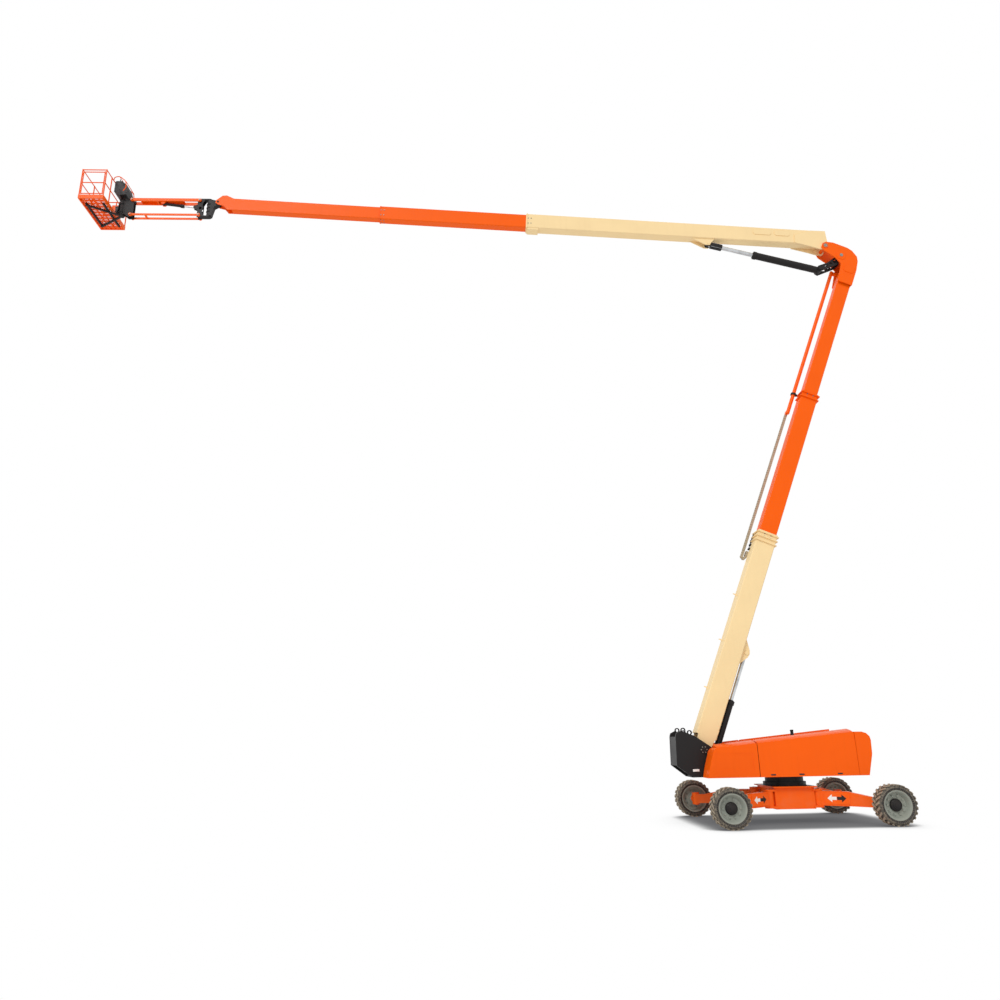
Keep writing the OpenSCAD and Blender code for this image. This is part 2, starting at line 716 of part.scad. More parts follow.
// A lift cylinder lies between two pins; barrels and rods share its axis
module along(a, b) {
    translate([a[0], 0, a[1]]) rotate([0, 90 - atan2(b[1] - a[1], b[0] - a[0]), 0]) children();
}

module barrel(len, r, rod_r, eye_r, eye_w, eye_bore) {
    difference() {
        union() {
            translate([0, 0, eye_r * 0.6]) cylinder(h = len - eye_r * 0.6, r = r, $fn = 64);
            translate([0, 0, len - 120]) cylinder(h = 120, r = r + 18, $fn = 64);
            rotate([90, 0, 0]) cylinder(h = eye_w, r = eye_r, center = true, $fn = 48);
        }
        translate([0, 0, eye_r + 60]) cylinder(h = len, r = rod_r + pin_gap, $fn = 48);
        rotate([90, 0, 0]) cylinder(h = eye_w + 2, r = eye_bore, center = true, $fn = 48);
    }
}

module rod(from, to, r, eye_r, eye_w) {
    translate([0, 0, from]) cylinder(h = to - from - eye_r * 0.7, r = r, $fn = 48);
    translate([0, 0, to]) rotate([90, 0, 0]) difference() {
        cylinder(h = eye_w, r = eye_r, center = true, $fn = 48);
        cylinder(h = eye_w + 2, r = eye_r * 0.5, center = true, $fn = 48);
    }
}

lift_len = norm(lift_lug - lift_base);
main_cyl_len = norm(rod_lug - anchor_pin);
main_barrel_len = 2560;
rod_eye_bore = 37.5;

module tower_lift_barrel() {
    color(black) along(lift_base, lift_lug)
        barrel(lift_barrel_len, lift_barrel_r, lift_rod_r, 100, 200, 45 + pin_gap);
}

module tower_lift_rod() {
    color(chrome) along(lift_base, lift_lug) rod(1000, lift_len, lift_rod_r, 80, 150);
}

// Bracket under the knuckle that holds the main cylinder's foot
anchor_outline = [for (q = [
    [-240, 960], [-200, 1100], [-60, 1110], [200, 830], [640, 560], [720, 440], [560, 300], [300, 420]
]) tower_pt(tower_fly_end + q[0], q[1])];
anchor_holes = [for (hole = [
    [[0, 900], [150, 780], [60, 740]], [[215, 600], [195, 755], [300, 690]],
    [[270, 560], [360, 660], [480, 580], [440, 430]]
]) [for (q = hole) tower_pt(tower_fly_end + q[0], q[1])]];

module cylinder_anchor() {
    color(black) both_sides() {
        difference() {
            side_plate(anchor_outline, anchor_in, anchor_in + anchor_t);
            for (hole = anchor_holes) side_plate(hole, anchor_in - 1, anchor_in + anchor_t + 1);
        }
        cross_pin(anchor_pin, 75, anchor_in + anchor_t - 1, anchor_in + anchor_t + 25);
        cross_pin(head_pin, 80, anchor_in + anchor_t - 1, cheek_in - run_gap);
    }
}

// Main boom
module main_base() {
    z0 = main_drop - main_h / 2;
    color(cream) on_main() difference() {
        union() {
            translate([0, 0, main_drop]) {
                box_tube(-main_base_len, -40, main_w, main_h, main_wall, 26);
                pads(-main_base_len, -main_base_len + pad_len,
                    main_w - 2 * main_wall, main_h - 2 * main_wall, main_step / 2 - main_wall, false);
                difference() {
                    bevelled_bar(-main_base_len + 20, -main_base_len + 60, main_w + 40, main_h + 40, 30);
                    bevelled_bar(-main_base_len + 10, -main_base_len + 70, main_w - 2, main_h - 2, 26);
                }
            }
            for (s = [-1, 1]) translate([0, s * (main_w / 2 + 15), 0]) rotate([90, 0, 0])
                linear_extrude(34, center = true) polygon([
                    [-1150, z0 + 4], [-520, z0 - 130], [-180, -120], [60, -130], [130, -20], [120, 180],
                    [60, z0 + main_h - 30], [-500, z0 + main_h - 40], [-1150, z0 + main_h - 260]
                ]);
            difference() {
                rotate([90, 0, 0]) cylinder(h = 2 * (cheek_in - run_gap), r = 130, center = true, $fn = 64);
                rotate([90, 0, 0]) cylinder(h = main_w, r = 131, center = true, $fn = 64);
            }
            both_sides() translate([0, rod_lug_in + 36, 0]) rotate([90, 0, 0]) linear_extrude(36)
                polygon([
                    [-rod_lug_s - 650, z0 + 4], [-rod_lug_s - 100, rod_lug_p - 85],
                    [-rod_lug_s + 70, rod_lug_p - 85], [-rod_lug_s + 120, rod_lug_p + 15],
                    [-rod_lug_s + 250, z0 + 4]
                ]);
            both_sides() cross_pin([-rod_lug_s, rod_lug_p], 60, rod_lug_in + 35, rod_lug_in + 50);
            cross_pin([-rod_lug_s, rod_lug_p], rod_eye_bore - pin_gap, -rod_lug_in - 1, rod_lug_in + 1);
            translate([-main_base_len + 60, -main_w / 2 + 10, z0 - 60]) cube([420, main_w - 20, 62]);
        }
        rotate([90, 0, 0]) cylinder(h = 900, r = main_pin_r + pin_gap, center = true, $fn = 64);
    }
}

module main_mid() {
    gap = main_step / 2 - main_wall;
    x1 = -main_base_len + main_inside;
    color(orange) on_main() translate([0, 0, main_drop]) {
        box_tube(-main_mid_end, x1, main_mid_w, main_mid_h, main_wall, 22);
        pads(x1 - pad_len, x1, main_mid_w, main_mid_h, gap, true);
        pads(-main_mid_end, -main_mid_end + pad_len,
            main_mid_w - 2 * main_wall, main_mid_h - 2 * main_wall, gap, false);
        difference() {
            bevelled_bar(-main_mid_end + 15, -main_mid_end + 45, main_mid_w + 24, main_mid_h + 24, 26);
            bevelled_bar(-main_mid_end + 10, -main_mid_end + 50, main_mid_w - 2, main_mid_h - 2, 22);
        }
    }
}

nose_half = 105;
nose_t = 30;

module main_fly() {
    x1 = -main_mid_end + main_inside;
    n = -main_fly_end;
    h = main_fly_h / 2;
    color(orange) on_main() translate([0, 0, main_drop]) {
        box_tube(n, x1, main_fly_w, main_fly_h, main_wall, 18);
        pads(x1 - pad_len, x1, main_fly_w, main_fly_h, main_step / 2 - main_wall, true);
        for (s = [-1, 1]) difference() {
            translate([0, s * (nose_half + nose_t / 2), 0]) rotate([90, 0, 0])
                linear_extrude(nose_t, center = true) polygon([
                    [n + 40, -h + 20], [n + 40, h - 20], [n - 260, h + 110], [n - 420, h + 90],
                    [n - 640, 130], [n - 650, 20], [n - 560, -40], [n - 330, -90], [n - 180, -h + 10]
                ]);
            translate([n - 560, 0, 70]) rotate([90, 0, 0])
                cylinder(h = 400, r = 40 + pin_gap, center = true, $fn = 48);
        }
        translate([n + 10, -main_fly_w / 2 + 5, -h + 5]) cube([16, main_fly_w - 10, 2 * h - 10]);
    }
}

module main_lift_barrel() {
    color(black) along(anchor_pin, rod_lug)
        barrel(main_barrel_len, main_barrel_r, main_rod_r, 110, 2 * (anchor_in - run_gap), 50);
}

module main_lift_rod() {
    color(chrome) along(anchor_pin, rod_lug) {
        rod(1150, main_cyl_len, main_rod_r, 2 * rod_eye_bore, 2 * rod_lug_in - 10);
        translate([-88, -88, main_cyl_len - 560]) cube([176, 176, 430]);
    }
}

// Jib: leveller on the nose pin, upright rotator, two pairs of arms, front bracket
rotator_r = 95;
rotator_z0 = jib_low - 60;
rotator_z1 = jib_rear[1] + 110;

module jib_leveller() {
    color(black) difference() {
        union() {
            cross_pin(nose_pin, 40, -nose_half - nose_t - 10, nose_half + nose_t + 10);
            side_plate([
                [nose_pin[0] + 70, nose_pin[1] - 60], [nose_pin[0] + 70, nose_pin[1] + 60],
                [nose_pin[0] - 120, nose_pin[1] + 90], [swing_x + 100, rotator_z1 - 60],
                [swing_x, rotator_z1 - 60], [swing_x, rotator_z0 + 60], [swing_x + 100, rotator_z0 + 60],
                [nose_pin[0] - 150, nose_pin[1] - 200]
            ], -rotator_r + 1, rotator_r - 1);
            translate([swing_x, 0, rotator_z0 + 60])
                cylinder(h = rotator_z1 - rotator_z0 - 120, r = rotator_r, $fn = 64);
        }
        translate([swing_x, 0, rotator_z0]) cylinder(h = 900, r = 40 + pin_gap, $fn = 48);
    }
}

module jib_rotator() {
    plate_t = 36;
    color(black) {
        for (z = [rotator_z0 + 60 - plate_t - run_gap, rotator_z1 - 60 + run_gap])
            translate([0, 0, z]) {
                translate([swing_x, 0, 0]) cylinder(h = plate_t, r = rotator_r, $fn = 64);
                translate([jib_rear[0] - 60, -rotator_r, 0])
                    cube([swing_x - jib_rear[0] + 60, 2 * rotator_r, plate_t]);
            }
        translate([swing_x, 0, rotator_z0 + 20])
            cylinder(h = rotator_z1 - rotator_z0 - 40, r = 40, $fn = 48);
        both_sides() difference() {
            side_plate([
                [jib_rear[0] - 70, jib_low - 70], [jib_rear[0] - 80, jib_rear[1] + 80],
                [jib_rear[0] + 90, rotator_z1 - 24 + run_gap], [swing_x - 130, rotator_z1 - 24 + run_gap],
                [jib_rear[0] + 110, jib_rear[1] - 120], [jib_rear[0] + 110, jib_low + 120],
                [swing_x - 130, rotator_z0 + 24 - run_gap], [jib_rear[0] + 90, rotator_z0 + 24 - run_gap]
            ], rotator_r - 30, rotator_r);
            cross_pin([jib_rear[0] + 30, (jib_low + jib_rear[1]) / 2], 60, 0, 300);
        }
        both_sides() side_plate([
            [jib_rear[0] - 40, jib_rear[1] - 140], [jib_foot[0] - 50, jib_foot[1] + 45],
            [jib_foot[0] - 50, jib_foot[1] - 45], [jib_rear[0] - 40, jib_rear[1] - 400]
        ], 34, rotator_r - 29);
        cross_pin(jib_rear, 30, -jib_half - 45, jib_half + 45);
        cross_pin([jib_rear[0], jib_low], 30, -jib_half - 45, jib_half + 45);
    }
}

// A pair of jib arms between two pins, joined by a cross tube
module jib_arm(z, height, cross_at) {
    x0 = jib_front[0];
    x1 = jib_rear[0];
    y0 = jib_half - jib_bar_w / 2;
    difference() {
        union() {
            both_sides() {
                translate([x0, y0, z - height / 2]) cube([x1 - x0, jib_bar_w, height]);
                for (x = [x0, x1]) cross_pin([x, z], 62, y0 - 2, y0 + jib_bar_w + 8);
            }
            translate([cross_at, -jib_half, z - 25]) cube([60, 2 * jib_half, 50]);
        }
        for (x = [x0, x1]) cross_pin([x, z], 30 + pin_gap, -400, 400);
    }
}

// The upper arm's web stays clear of the cylinder's foot
web_front = 260;
web_rear = 640;
web_t = 16;
jib_lug_x = jib_rear[0] - 1390;
jib_lug = [jib_lug_x, jib_rear[1] - 90];
jib_lug_in = 66;
jib_foot = [jib_rear[0] - 190, jib_rear[1] - 260];

module jib_upper_arm() {
    color(orange) {
        jib_arm(jib_rear[1], jib_upper_h, jib_lug_x - 260);
        translate([jib_front[0] + web_front, -jib_half, jib_rear[1] + jib_upper_h / 2 - web_t])
            cube([jib_len - web_front - web_rear, 2 * jib_half, web_t]);
        both_sides() side_plate([
            [jib_lug_x - 120, jib_rear[1] - 30], [jib_lug_x + 120, jib_rear[1] - 30],
            [jib_lug_x + 50, jib_lug[1] - 50], [jib_lug_x - 50, jib_lug[1] - 50]
        ], jib_lug_in, jib_half - jib_bar_w / 2 + 1);
        cross_pin(jib_lug, 24, -jib_lug_in - 1, jib_lug_in + 1);
    }
}

module jib_lower_arm() {
    color(orange) jib_arm(jib_low, jib_lower_h, jib_front[0] + 520);
}

module jib_front_bracket() {
    color(black) {
        both_sides() side_plate([
            [jib_front[0] + 70, jib_low - 70], [jib_front[0] + 70, jib_front[1] + 70],
            [jib_front[0] - 120, jib_front[1] + 60], [rotator_x + rotator_r + 20, jib_front[1] - 40],
            [rotator_x, jib_front[1] - 40], [rotator_x, jib_low + 40],
            [rotator_x + rotator_r + 20, jib_low + 40], [jib_front[0] - 120, jib_low - 70]
        ], rotator_r - 30, rotator_r);
        cross_pin(jib_front, 30, -jib_half - 45, jib_half + 45);
        cross_pin([jib_front[0], jib_low], 30, -jib_half - 45, jib_half + 45);
        difference() {
            translate([rotator_x, 0, jib_low + 40])
                cylinder(h = jib_rise - 80, r = rotator_r + 12, $fn = 64);
            translate([rotator_x, 0, jib_low]) cylinder(h = jib_rise, r = 45 + pin_gap, $fn = 48);
        }
    }
}

jib_cyl_len = norm(jib_foot - jib_lug);

module jib_lift_barrel() {
    color(black) along(jib_lug, jib_foot) barrel(780, 52, 26, 48, 120, 24 + pin_gap);
}

module jib_lift_rod() {
    color(chrome) along(jib_lug, jib_foot) rod(400, jib_cyl_len, 26, 38, 60);
}

// Platform: rotator with its arm under the floor, floor, rails, gate and console
floor_under = floor_z - 5;
arm_h = 48;

module platform_rotator() {
    arm_z = floor_under - 90;
    reach = rotator_x - platform_x0 - 160;
    spread = atan2(platform_w / 2 - 300, reach);
    color(black) {
        translate([rotator_x, 0, arm_z]) cylinder(h = jib_front[1] - arm_z + 40, r = 45, $fn = 48);
        translate([rotator_x, 0, arm_z])
            cylinder(h = jib_low + 40 - run_gap - arm_z, r = rotator_r, $fn = 64);
        translate([rotator_x, 0, jib_front[1] - 40 + run_gap]) cylinder(h = 60, r = rotator_r, $fn = 64);
        for (turn = [-spread, spread]) translate([rotator_x, 0, arm_z]) rotate([0, 0, 180 + turn])
            translate([0, -35, 0]) cube([reach / cos(spread), 70, arm_h]);
        for (x = [platform_x0 + 160, platform_x1 - 130])
            translate([x, -platform_w / 2 + 260, arm_z + arm_h - 20])
                cube([60, platform_w - 520, floor_under - arm_z - arm_h + 20]);
    }
}

module platform_floor() {
    t = 40;
    y0 = -platform_w / 2;
    color(orange) {
        difference() {
            translate([platform_x0, -platform_w / 2, floor_under + run_gap])
                cube([platform_l, platform_w, 150]);
            translate([platform_x0 + t, -platform_w / 2 + t, floor_z - 10])
                cube([platform_l - 2 * t, platform_w - 2 * t, 170]);
        }
        bars_x = 5;
        bars_y = 11;
        for (i = [1:bars_x - 1])
            translate([platform_x0 + i * platform_l / bars_x - 15, y0 + 5, floor_under + run_gap])
                cube([30, platform_w - 10, 50]);
        for (i = [1:bars_y - 1])
            translate([platform_x0 + 5, y0 + i * platform_w / bars_y - 12, floor_under + run_gap])
                cube([platform_l - 10, 24, 50]);
    }
}

gate_w = 620;
gate_gap = 8;
toe_top = floor_z + 145 + run_gap;

module rail_post(x, y) {
    z0 = toe_top + run_gap;
    translate([x, y, z0]) cylinder(h = rail_top + rail_d * 0.45 - z0, d = rail_d, $fn = 32);
}

module rail_x(x0, x1, y, z) {
    translate([x0, y, z]) rotate([0, 90, 0]) cylinder(h = x1 - x0, d = rail_d - 4, $fn = 32);
}

module rail_y(x, y0, y1, z) {
    translate([x, y0, z]) rotate([-90, 0, 0]) cylinder(h = y1 - y0, d = rail_d - 7, $fn = 32);
}

module platform_rails() {
    i = rail_d / 2;
    x0 = platform_x0 + i;
    x1 = platform_x1 - i;
    y1 = platform_w / 2 - i;
    mid = floor_z + rail_h * 0.55;
    color(orange) {
        for (x = [x0, x1], y = [-y1, y1]) rail_post(x, y);
        rail_post(x0, 0);
        for (y = [-gate_w, gate_w]) rail_post(x1, y * 0.8);
        for (z = [rail_top, mid]) {
            rail_x(x0, x1, y1, z);
            rail_y(x0, -y1, y1, z);
            rail_y(x1, -y1, y1, z);
        }
        rail_post((x0 + x1) / 2, y1);
        rail_x(x0, x1, -y1, rail_top);
        for (z = [floor_z + 300, floor_z + rail_h - 220])
            translate([x0 + i - 4, -y1 - 10, z]) cube([gate_gap + 7 - run_gap, 20, 60]);
    }
}

// Gate in the near side: it turns inward on its own front tube, held by two lugs on the post
module platform_gate() {
    i = rail_d / 2;
    x0 = platform_x0 + rail_d + gate_gap;
    x1 = platform_x1 - rail_d - gate_gap;
    y = -platform_w / 2 + i;
    color(orange) {
        for (x = [x0 + i, x1 - i]) translate([x, y, floor_z + 190])
            cylinder(h = rail_h - 260, d = rail_d - 6, $fn = 32);
        for (z = [floor_z + 210, floor_z + rail_h * 0.55, floor_z + rail_h - 100])
            translate([x0 + i, y, z]) rotate([0, 90, 0])
                cylinder(h = x1 - x0 - 2 * i, d = rail_d - 6, $fn = 32);
    }
}

// Control box on the outside of the rail next to the jib
module control_console() {
    x = platform_x1 - rail_d / 2 + (rail_d - 7) / 2 + run_gap;
    z = rail_top;
    color(black) side_plate([
        [x, z - 420], [x, z + 20], [x + 70, z + 55], [x + 250, z + 40], [x + 430, z - 90],
        [x + 490, z - 300], [x + 470, z - 540], [x + 200, z - 560]
    ], -260, 260);
}

// Every piece is drawn about the slew axis and then set in the part's own frame
module placed() {
    translate([frame_shift, 0, 0]) children();
}

placed() chassis_frame();
placed() slew_ring();
placed() arm_at(-1, -1);  // axle_arm_fl
placed() arm_at(-1, 1);  // axle_arm_fr
placed() arm_at(1, -1);  // axle_arm_rl
placed() arm_at(1, 1);  // axle_arm_rr
placed() knuckle_at(-1, -1);  // steer_knuckle_fl
placed() knuckle_at(-1, 1);  // steer_knuckle_fr
placed() knuckle_at(1, -1);  // steer_knuckle_rl
placed() knuckle_at(1, 1);  // steer_knuckle_rr
placed() wheel_at(-1, -1) wheel_rim();  // wheel_rim_fl
placed() wheel_at(-1, 1) wheel_rim();  // wheel_rim_fr
placed() wheel_at(1, -1) wheel_rim();  // wheel_rim_rl
placed() wheel_at(1, 1) wheel_rim();  // wheel_rim_rr
placed() wheel_at(-1, -1) tyre();  // tyre_fl
placed() wheel_at(-1, 1) tyre();  // tyre_fr
placed() wheel_at(1, -1) tyre();  // tyre_rl
placed() wheel_at(1, 1) tyre();  // tyre_rr
placed() turntable_frame();
placed() front_cover();  // front_cover_left
placed() mirror([0, 1, 0]) front_cover();  // front_cover_right
placed() hood_door();  // hood_door_left
placed() mirror([0, 1, 0]) hood_door();  // hood_door_right
placed() counterweight();
placed() engine_block();
placed() tower_base();
placed() tower_mid();
placed() tower_fly();
placed() tower_conduit();
placed() cable_chain();
placed() tower_lift_barrel();
placed() tower_lift_rod();
placed() cylinder_anchor();
placed() main_base();
placed() main_mid();
placed() main_fly();
placed() main_lift_barrel();
placed() main_lift_rod();
placed() jib_leveller();
placed() jib_rotator();
placed() jib_upper_arm();
placed() jib_lower_arm();
placed() jib_front_bracket();
placed() jib_lift_barrel();
placed() jib_lift_rod();
placed() platform_rotator();
placed() platform_floor();
placed() platform_rails();
placed() platform_gate();
placed() control_console();
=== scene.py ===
"""Looks of an articulating boom lift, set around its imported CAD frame."""

import json
import math

import bmesh
import bpy
from bpy.props import FloatProperty, FloatVectorProperty, IntProperty, PointerProperty
from mathutils import Matrix, Vector


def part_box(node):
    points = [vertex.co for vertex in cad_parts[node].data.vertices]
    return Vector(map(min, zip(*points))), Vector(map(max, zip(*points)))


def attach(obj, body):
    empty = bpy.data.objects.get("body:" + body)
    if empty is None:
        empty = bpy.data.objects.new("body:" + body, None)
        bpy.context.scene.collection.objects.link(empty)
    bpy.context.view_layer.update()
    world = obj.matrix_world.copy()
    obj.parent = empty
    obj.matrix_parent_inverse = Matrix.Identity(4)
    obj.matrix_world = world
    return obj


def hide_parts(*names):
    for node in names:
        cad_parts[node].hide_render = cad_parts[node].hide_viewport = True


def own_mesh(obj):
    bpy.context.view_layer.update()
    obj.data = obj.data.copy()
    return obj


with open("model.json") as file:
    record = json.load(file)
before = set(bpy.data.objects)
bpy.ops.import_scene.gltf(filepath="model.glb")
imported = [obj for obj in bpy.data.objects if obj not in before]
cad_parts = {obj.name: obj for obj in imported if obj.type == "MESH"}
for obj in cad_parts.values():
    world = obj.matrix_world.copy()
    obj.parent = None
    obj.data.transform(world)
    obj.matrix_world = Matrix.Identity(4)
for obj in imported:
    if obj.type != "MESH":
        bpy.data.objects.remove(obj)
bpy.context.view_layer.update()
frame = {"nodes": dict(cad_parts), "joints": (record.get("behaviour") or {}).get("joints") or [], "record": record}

bl_info = {
    "name": "Boom Lift Looks",
    "version": (1, 0, 0),
    "blender": (4, 5, 0),
    "location": "View3D > Sidebar > Boom Lift",
    "description": "Paint, fittings and stage for an articulating boom lift",
    "category": "Object",
}

JOINTS = {joint["name"]: joint for joint in frame["joints"]}
CORNERS = {"fl": (-1, -1), "fr": (-1, 1), "rl": (1, -1), "rr": (1, 1)}
UP = Vector((0, 0, 1))
ACROSS = Vector((0, 1, 0))
SHOULDER_TICKS = 56
DUST_TOP, DUST_FULL = 1.5, 0.25
SHARP_FROM = math.radians(35)
WHITE = (1, 1, 1, 1)


def pin(joint):
    """Where a joint turns, in the row frame."""
    return Vector(JOINTS[joint]["pos_m"])


def heading(joint):
    """Which way a joint's axis points."""
    return Vector(JOINTS[joint]["axis"]).normalized()


def side_frame(origin, forward):
    """A frame whose x runs forward, whose y runs across the machine and whose z stands off the top side."""
    top = forward.cross(ACROSS)
    turn = Matrix((forward, ACROSS, top)).transposed().to_4x4()
    return Matrix.Translation(origin) @ turn


SLEW = pin("slew")
TOWER = side_frame(pin("tower_lift"), heading("tower_extend"))
MAIN = side_frame(pin("main_lift"), -heading("main_extend"))


def linear(red, green, blue):
    """A colour read as 8-bit display values, as shader values."""
    def one(value):
        value /= 255
        return value / 12.92 if value <= 0.04045 else ((value + 0.055) / 1.055) ** 2.4
    return one(red), one(green), one(blue)


def colour(name, description, rgb):
    return FloatVectorProperty(
        name=name, description=description, default=linear(*rgb), size=3, min=0, max=1, subtype="COLOR"
    )


def length(name, description, metres):
    return FloatProperty(name=name, description=description, default=metres, min=0.001, max=10, unit="LENGTH")


def share(name, description, value):
    return FloatProperty(name=name, description=description, default=value, min=0, max=1, subtype="FACTOR")


def count(name, description, value, low, high):
    return IntProperty(name=name, description=description, default=value, min=low, max=high)


class PaintSettings(bpy.types.PropertyGroup):
    """Colours and state of the finishes"""
    orange: colour("Orange", "Machine enamel of the chassis, hoods and upper sections", (255, 98, 0))
    cream: colour("Cream", "Enamel of the two base sections", (252, 222, 168))
    black: colour("Black", "Satin enamel of brackets and cylinders", (38, 36, 36))
    rim: colour("Rim", "Enamel of the wheels", (150, 155, 145))
    rubber: colour("Rubber", "Clean tyre rubber", (44, 41, 38))
    dust: colour("Dust", "Dry soil on tyres and low panels", (184, 168, 144))
    plastic: colour("Plastic", "Moulded console and covers", (30, 30, 31))
    chain: colour("Carrier", "Moulded links of the cable carrier", (178, 164, 140))
    iron: colour("Iron", "Engine casting", (92, 94, 94))
    arrow_white: colour("Arrow white", "Pale half of the drive arrows", (244, 243, 238))
    lamp: colour("Lamp", "Tail lamp lens", (170, 16, 10))
    dust_level: share("Dust level", "How much dry soil lies on the chassis", 0.10)
    enamel_gloss: share("Enamel roughness", "Roughness of clean machine enamel", 0.32)


class WheelSettings(bpy.types.PropertyGroup):
    """Wheel fittings"""
    nut_count: count("Nuts", "Wheel nuts round a hub", 10, 4, 24)
    nut_circle: length("Nut circle", "Radius of the circle of wheel nuts", 0.2542)
    nut_size: length("Nut size", "Radius of a wheel nut over its corners", 0.026)
    hub_radius: length("Hub radius", "Radius of the planetary hub's cover", 0.178)


class BoomSettings(bpy.types.PropertyGroup):
    """Fittings of the booms"""
    bolt_size: length("Bolt size", "Radius of a bolt head over its corners", 0.017)
    bolt_height: length("Bolt height", "Height of a bolt head", 0.014)
    link_pitch: length("Link pitch", "Spacing of the cable carrier's links", 0.09)
    hose_radius: length("Pipe radius", "Radius of the hydraulic pipes", 0.016)


class PlatformSettings(bpy.types.PropertyGroup):
    """Fittings of the platform"""
    mesh_pitch: length("Mesh pitch", "Spacing of the floor's mesh bars", 0.022)
    mesh_bar: length("Mesh bar", "Radius of a floor mesh bar", 0.0042)


class StageSettings(bpy.types.PropertyGroup):
    """Floor, light and camera"""
    floor: colour("Floor", "Pale studio floor", (244, 244, 244))
    sky: share("Sky", "Strength of the light from all round", 0.66)
    sun: FloatProperty(name="Sun", description="Strength of the soft key light", default=1.25, min=0, max=5)
    shade: length("Shade", "Reach of the soft shade on the floor", 2.4)
    focal: FloatProperty(name="Focal length", description="Camera lens", default=28.08, min=10, max=200,
                         subtype="DISTANCE_CAMERA")


class LiftSettings(bpy.types.PropertyGroup):
    """All settings of the boom lift's looks"""
    paint: PointerProperty(type=PaintSettings)
    wheel: PointerProperty(type=WheelSettings)
    boom: PointerProperty(type=BoomSettings)
    platform: PointerProperty(type=PlatformSettings)
    stage: PointerProperty(type=StageSettings)


def feed(tree, socket, value):
    """Link a socket to another one, or give it a plain value."""
    value = getattr(value, "socket", value)
    if isinstance(value, bpy.types.NodeSocket):
        tree.links.new(value, socket)
    else:
        socket.default_value = value


def add_node(tree, kind, settings=None, sockets=None):
    """A node with its settings, and its sockets linked or set."""
    made = tree.nodes.new(kind)
    for key, value in (settings or {}).items():
        setattr(made, key, value)
    for key, value in (sockets or {}).items():
        feed(tree, made.inputs[key], value)
    return made


def node_of(tree, kind):
    """The first node of a kind in a tree."""
    return next(node for node in tree.nodes if node.type == kind)


class Value:
    """A socket in a finish's tree. Arithmetic on it adds Math nodes."""

    def __init__(self, finish, socket):
        self.finish, self.socket = finish, socket

    def __add__(self, other):
        return self.finish.maths("ADD", self, other)

    def __sub__(self, other):
        return self.finish.maths("SUBTRACT", self, other)

    def __rsub__(self, other):
        return self.finish.maths("SUBTRACT", other, self)

    def __mul__(self, other):
        return self.finish.maths("MULTIPLY", self, other)

    def limited(self):
        return self.finish.node("ShaderNodeClamp", None, {"Value": self})

    def ramp(self, low, high, start=0.0, end=1.0):
        """Smooth step of this value between low and high."""
        return self.finish.node(
            "ShaderNodeMapRange", {"interpolation_type": "SMOOTHSTEP"},
            {"Value": self, "From Min": low, "From Max": high, "To Min": start, "To Max": end},
        )


class Finish:
    """One procedural material: a node tree with a Principled shader and shorthand for adding to it."""

    def __init__(self, name):
        self.material = bpy.data.materials.new(name)
        self.material.use_nodes = True
        self.tree = self.material.node_tree
        self.shader = node_of(self.tree, "BSDF_PRINCIPLED")
        self.place = self.node("ShaderNodeTexCoord", out="Object")

    def node(self, kind, settings=None, sockets=None, out=0):
        return Value(self, add_node(self.tree, kind, settings, sockets).outputs[out])

    def maths(self, operation, first, second=0.0):
        return self.node("ShaderNodeMath", {"operation": operation}, {0: first, 1: second})

    def vectors(self, operation, first, second=(0, 0, 0), out=0):
        return self.node("ShaderNodeVectorMath", {"operation": operation}, {0: first, 1: second}, out)

    def noise(self, scale, detail=3.0, rough=0.55, place=None):
        return self.node("ShaderNodeTexNoise", None, {
            "Vector": place or self.place, "Scale": scale, "Detail": detail, "Roughness": rough})

    def stretched(self, x, y, z):
        return self.node("ShaderNodeMapping", None, {"Vector": self.place, "Scale": (x, y, z)})

    def axis(self, letter, of=None):
        """One part of a vector, or of the place on the machine."""
        return self.node("ShaderNodeSeparateXYZ", None, {"Vector": of or self.place}, out=letter)

    def normal(self):
        return self.node("ShaderNodeNewGeometry", out="Normal")

    def edges(self, radius):
        """1 on edges and 0 on flats, from how far a rounded normal leaves the true one."""
        rounded_off = self.node("ShaderNodeBevel", {"samples": 4}, {"Radius": radius})
        match = self.vectors("DOT_PRODUCT", rounded_off, self.normal(), "Value")
        return (1 - match).ramp(0.02, 0.25)

    def mix(self, factor, first, second):
        """A blend of two colours."""
        def four(value):
            return value if isinstance(value, Value) else (*value, 1)
        sockets = {0: factor, 6: four(first), 7: four(second)}
        return self.node("ShaderNodeMix", {"data_type": "RGBA"}, sockets, out=2)

    def put(self, socket, value):
        feed(self.tree, self.shader.inputs[socket], value)

    def relief(self, height, strength, distance):
        bump = self.node("ShaderNodeBump", None, {"Height": height, "Strength": strength, "Distance": distance},
                         out="Normal")
        self.put("Normal", bump)


def scaled(rgb, factor):
    return tuple(min(1.0, part * factor) for part in rgb)


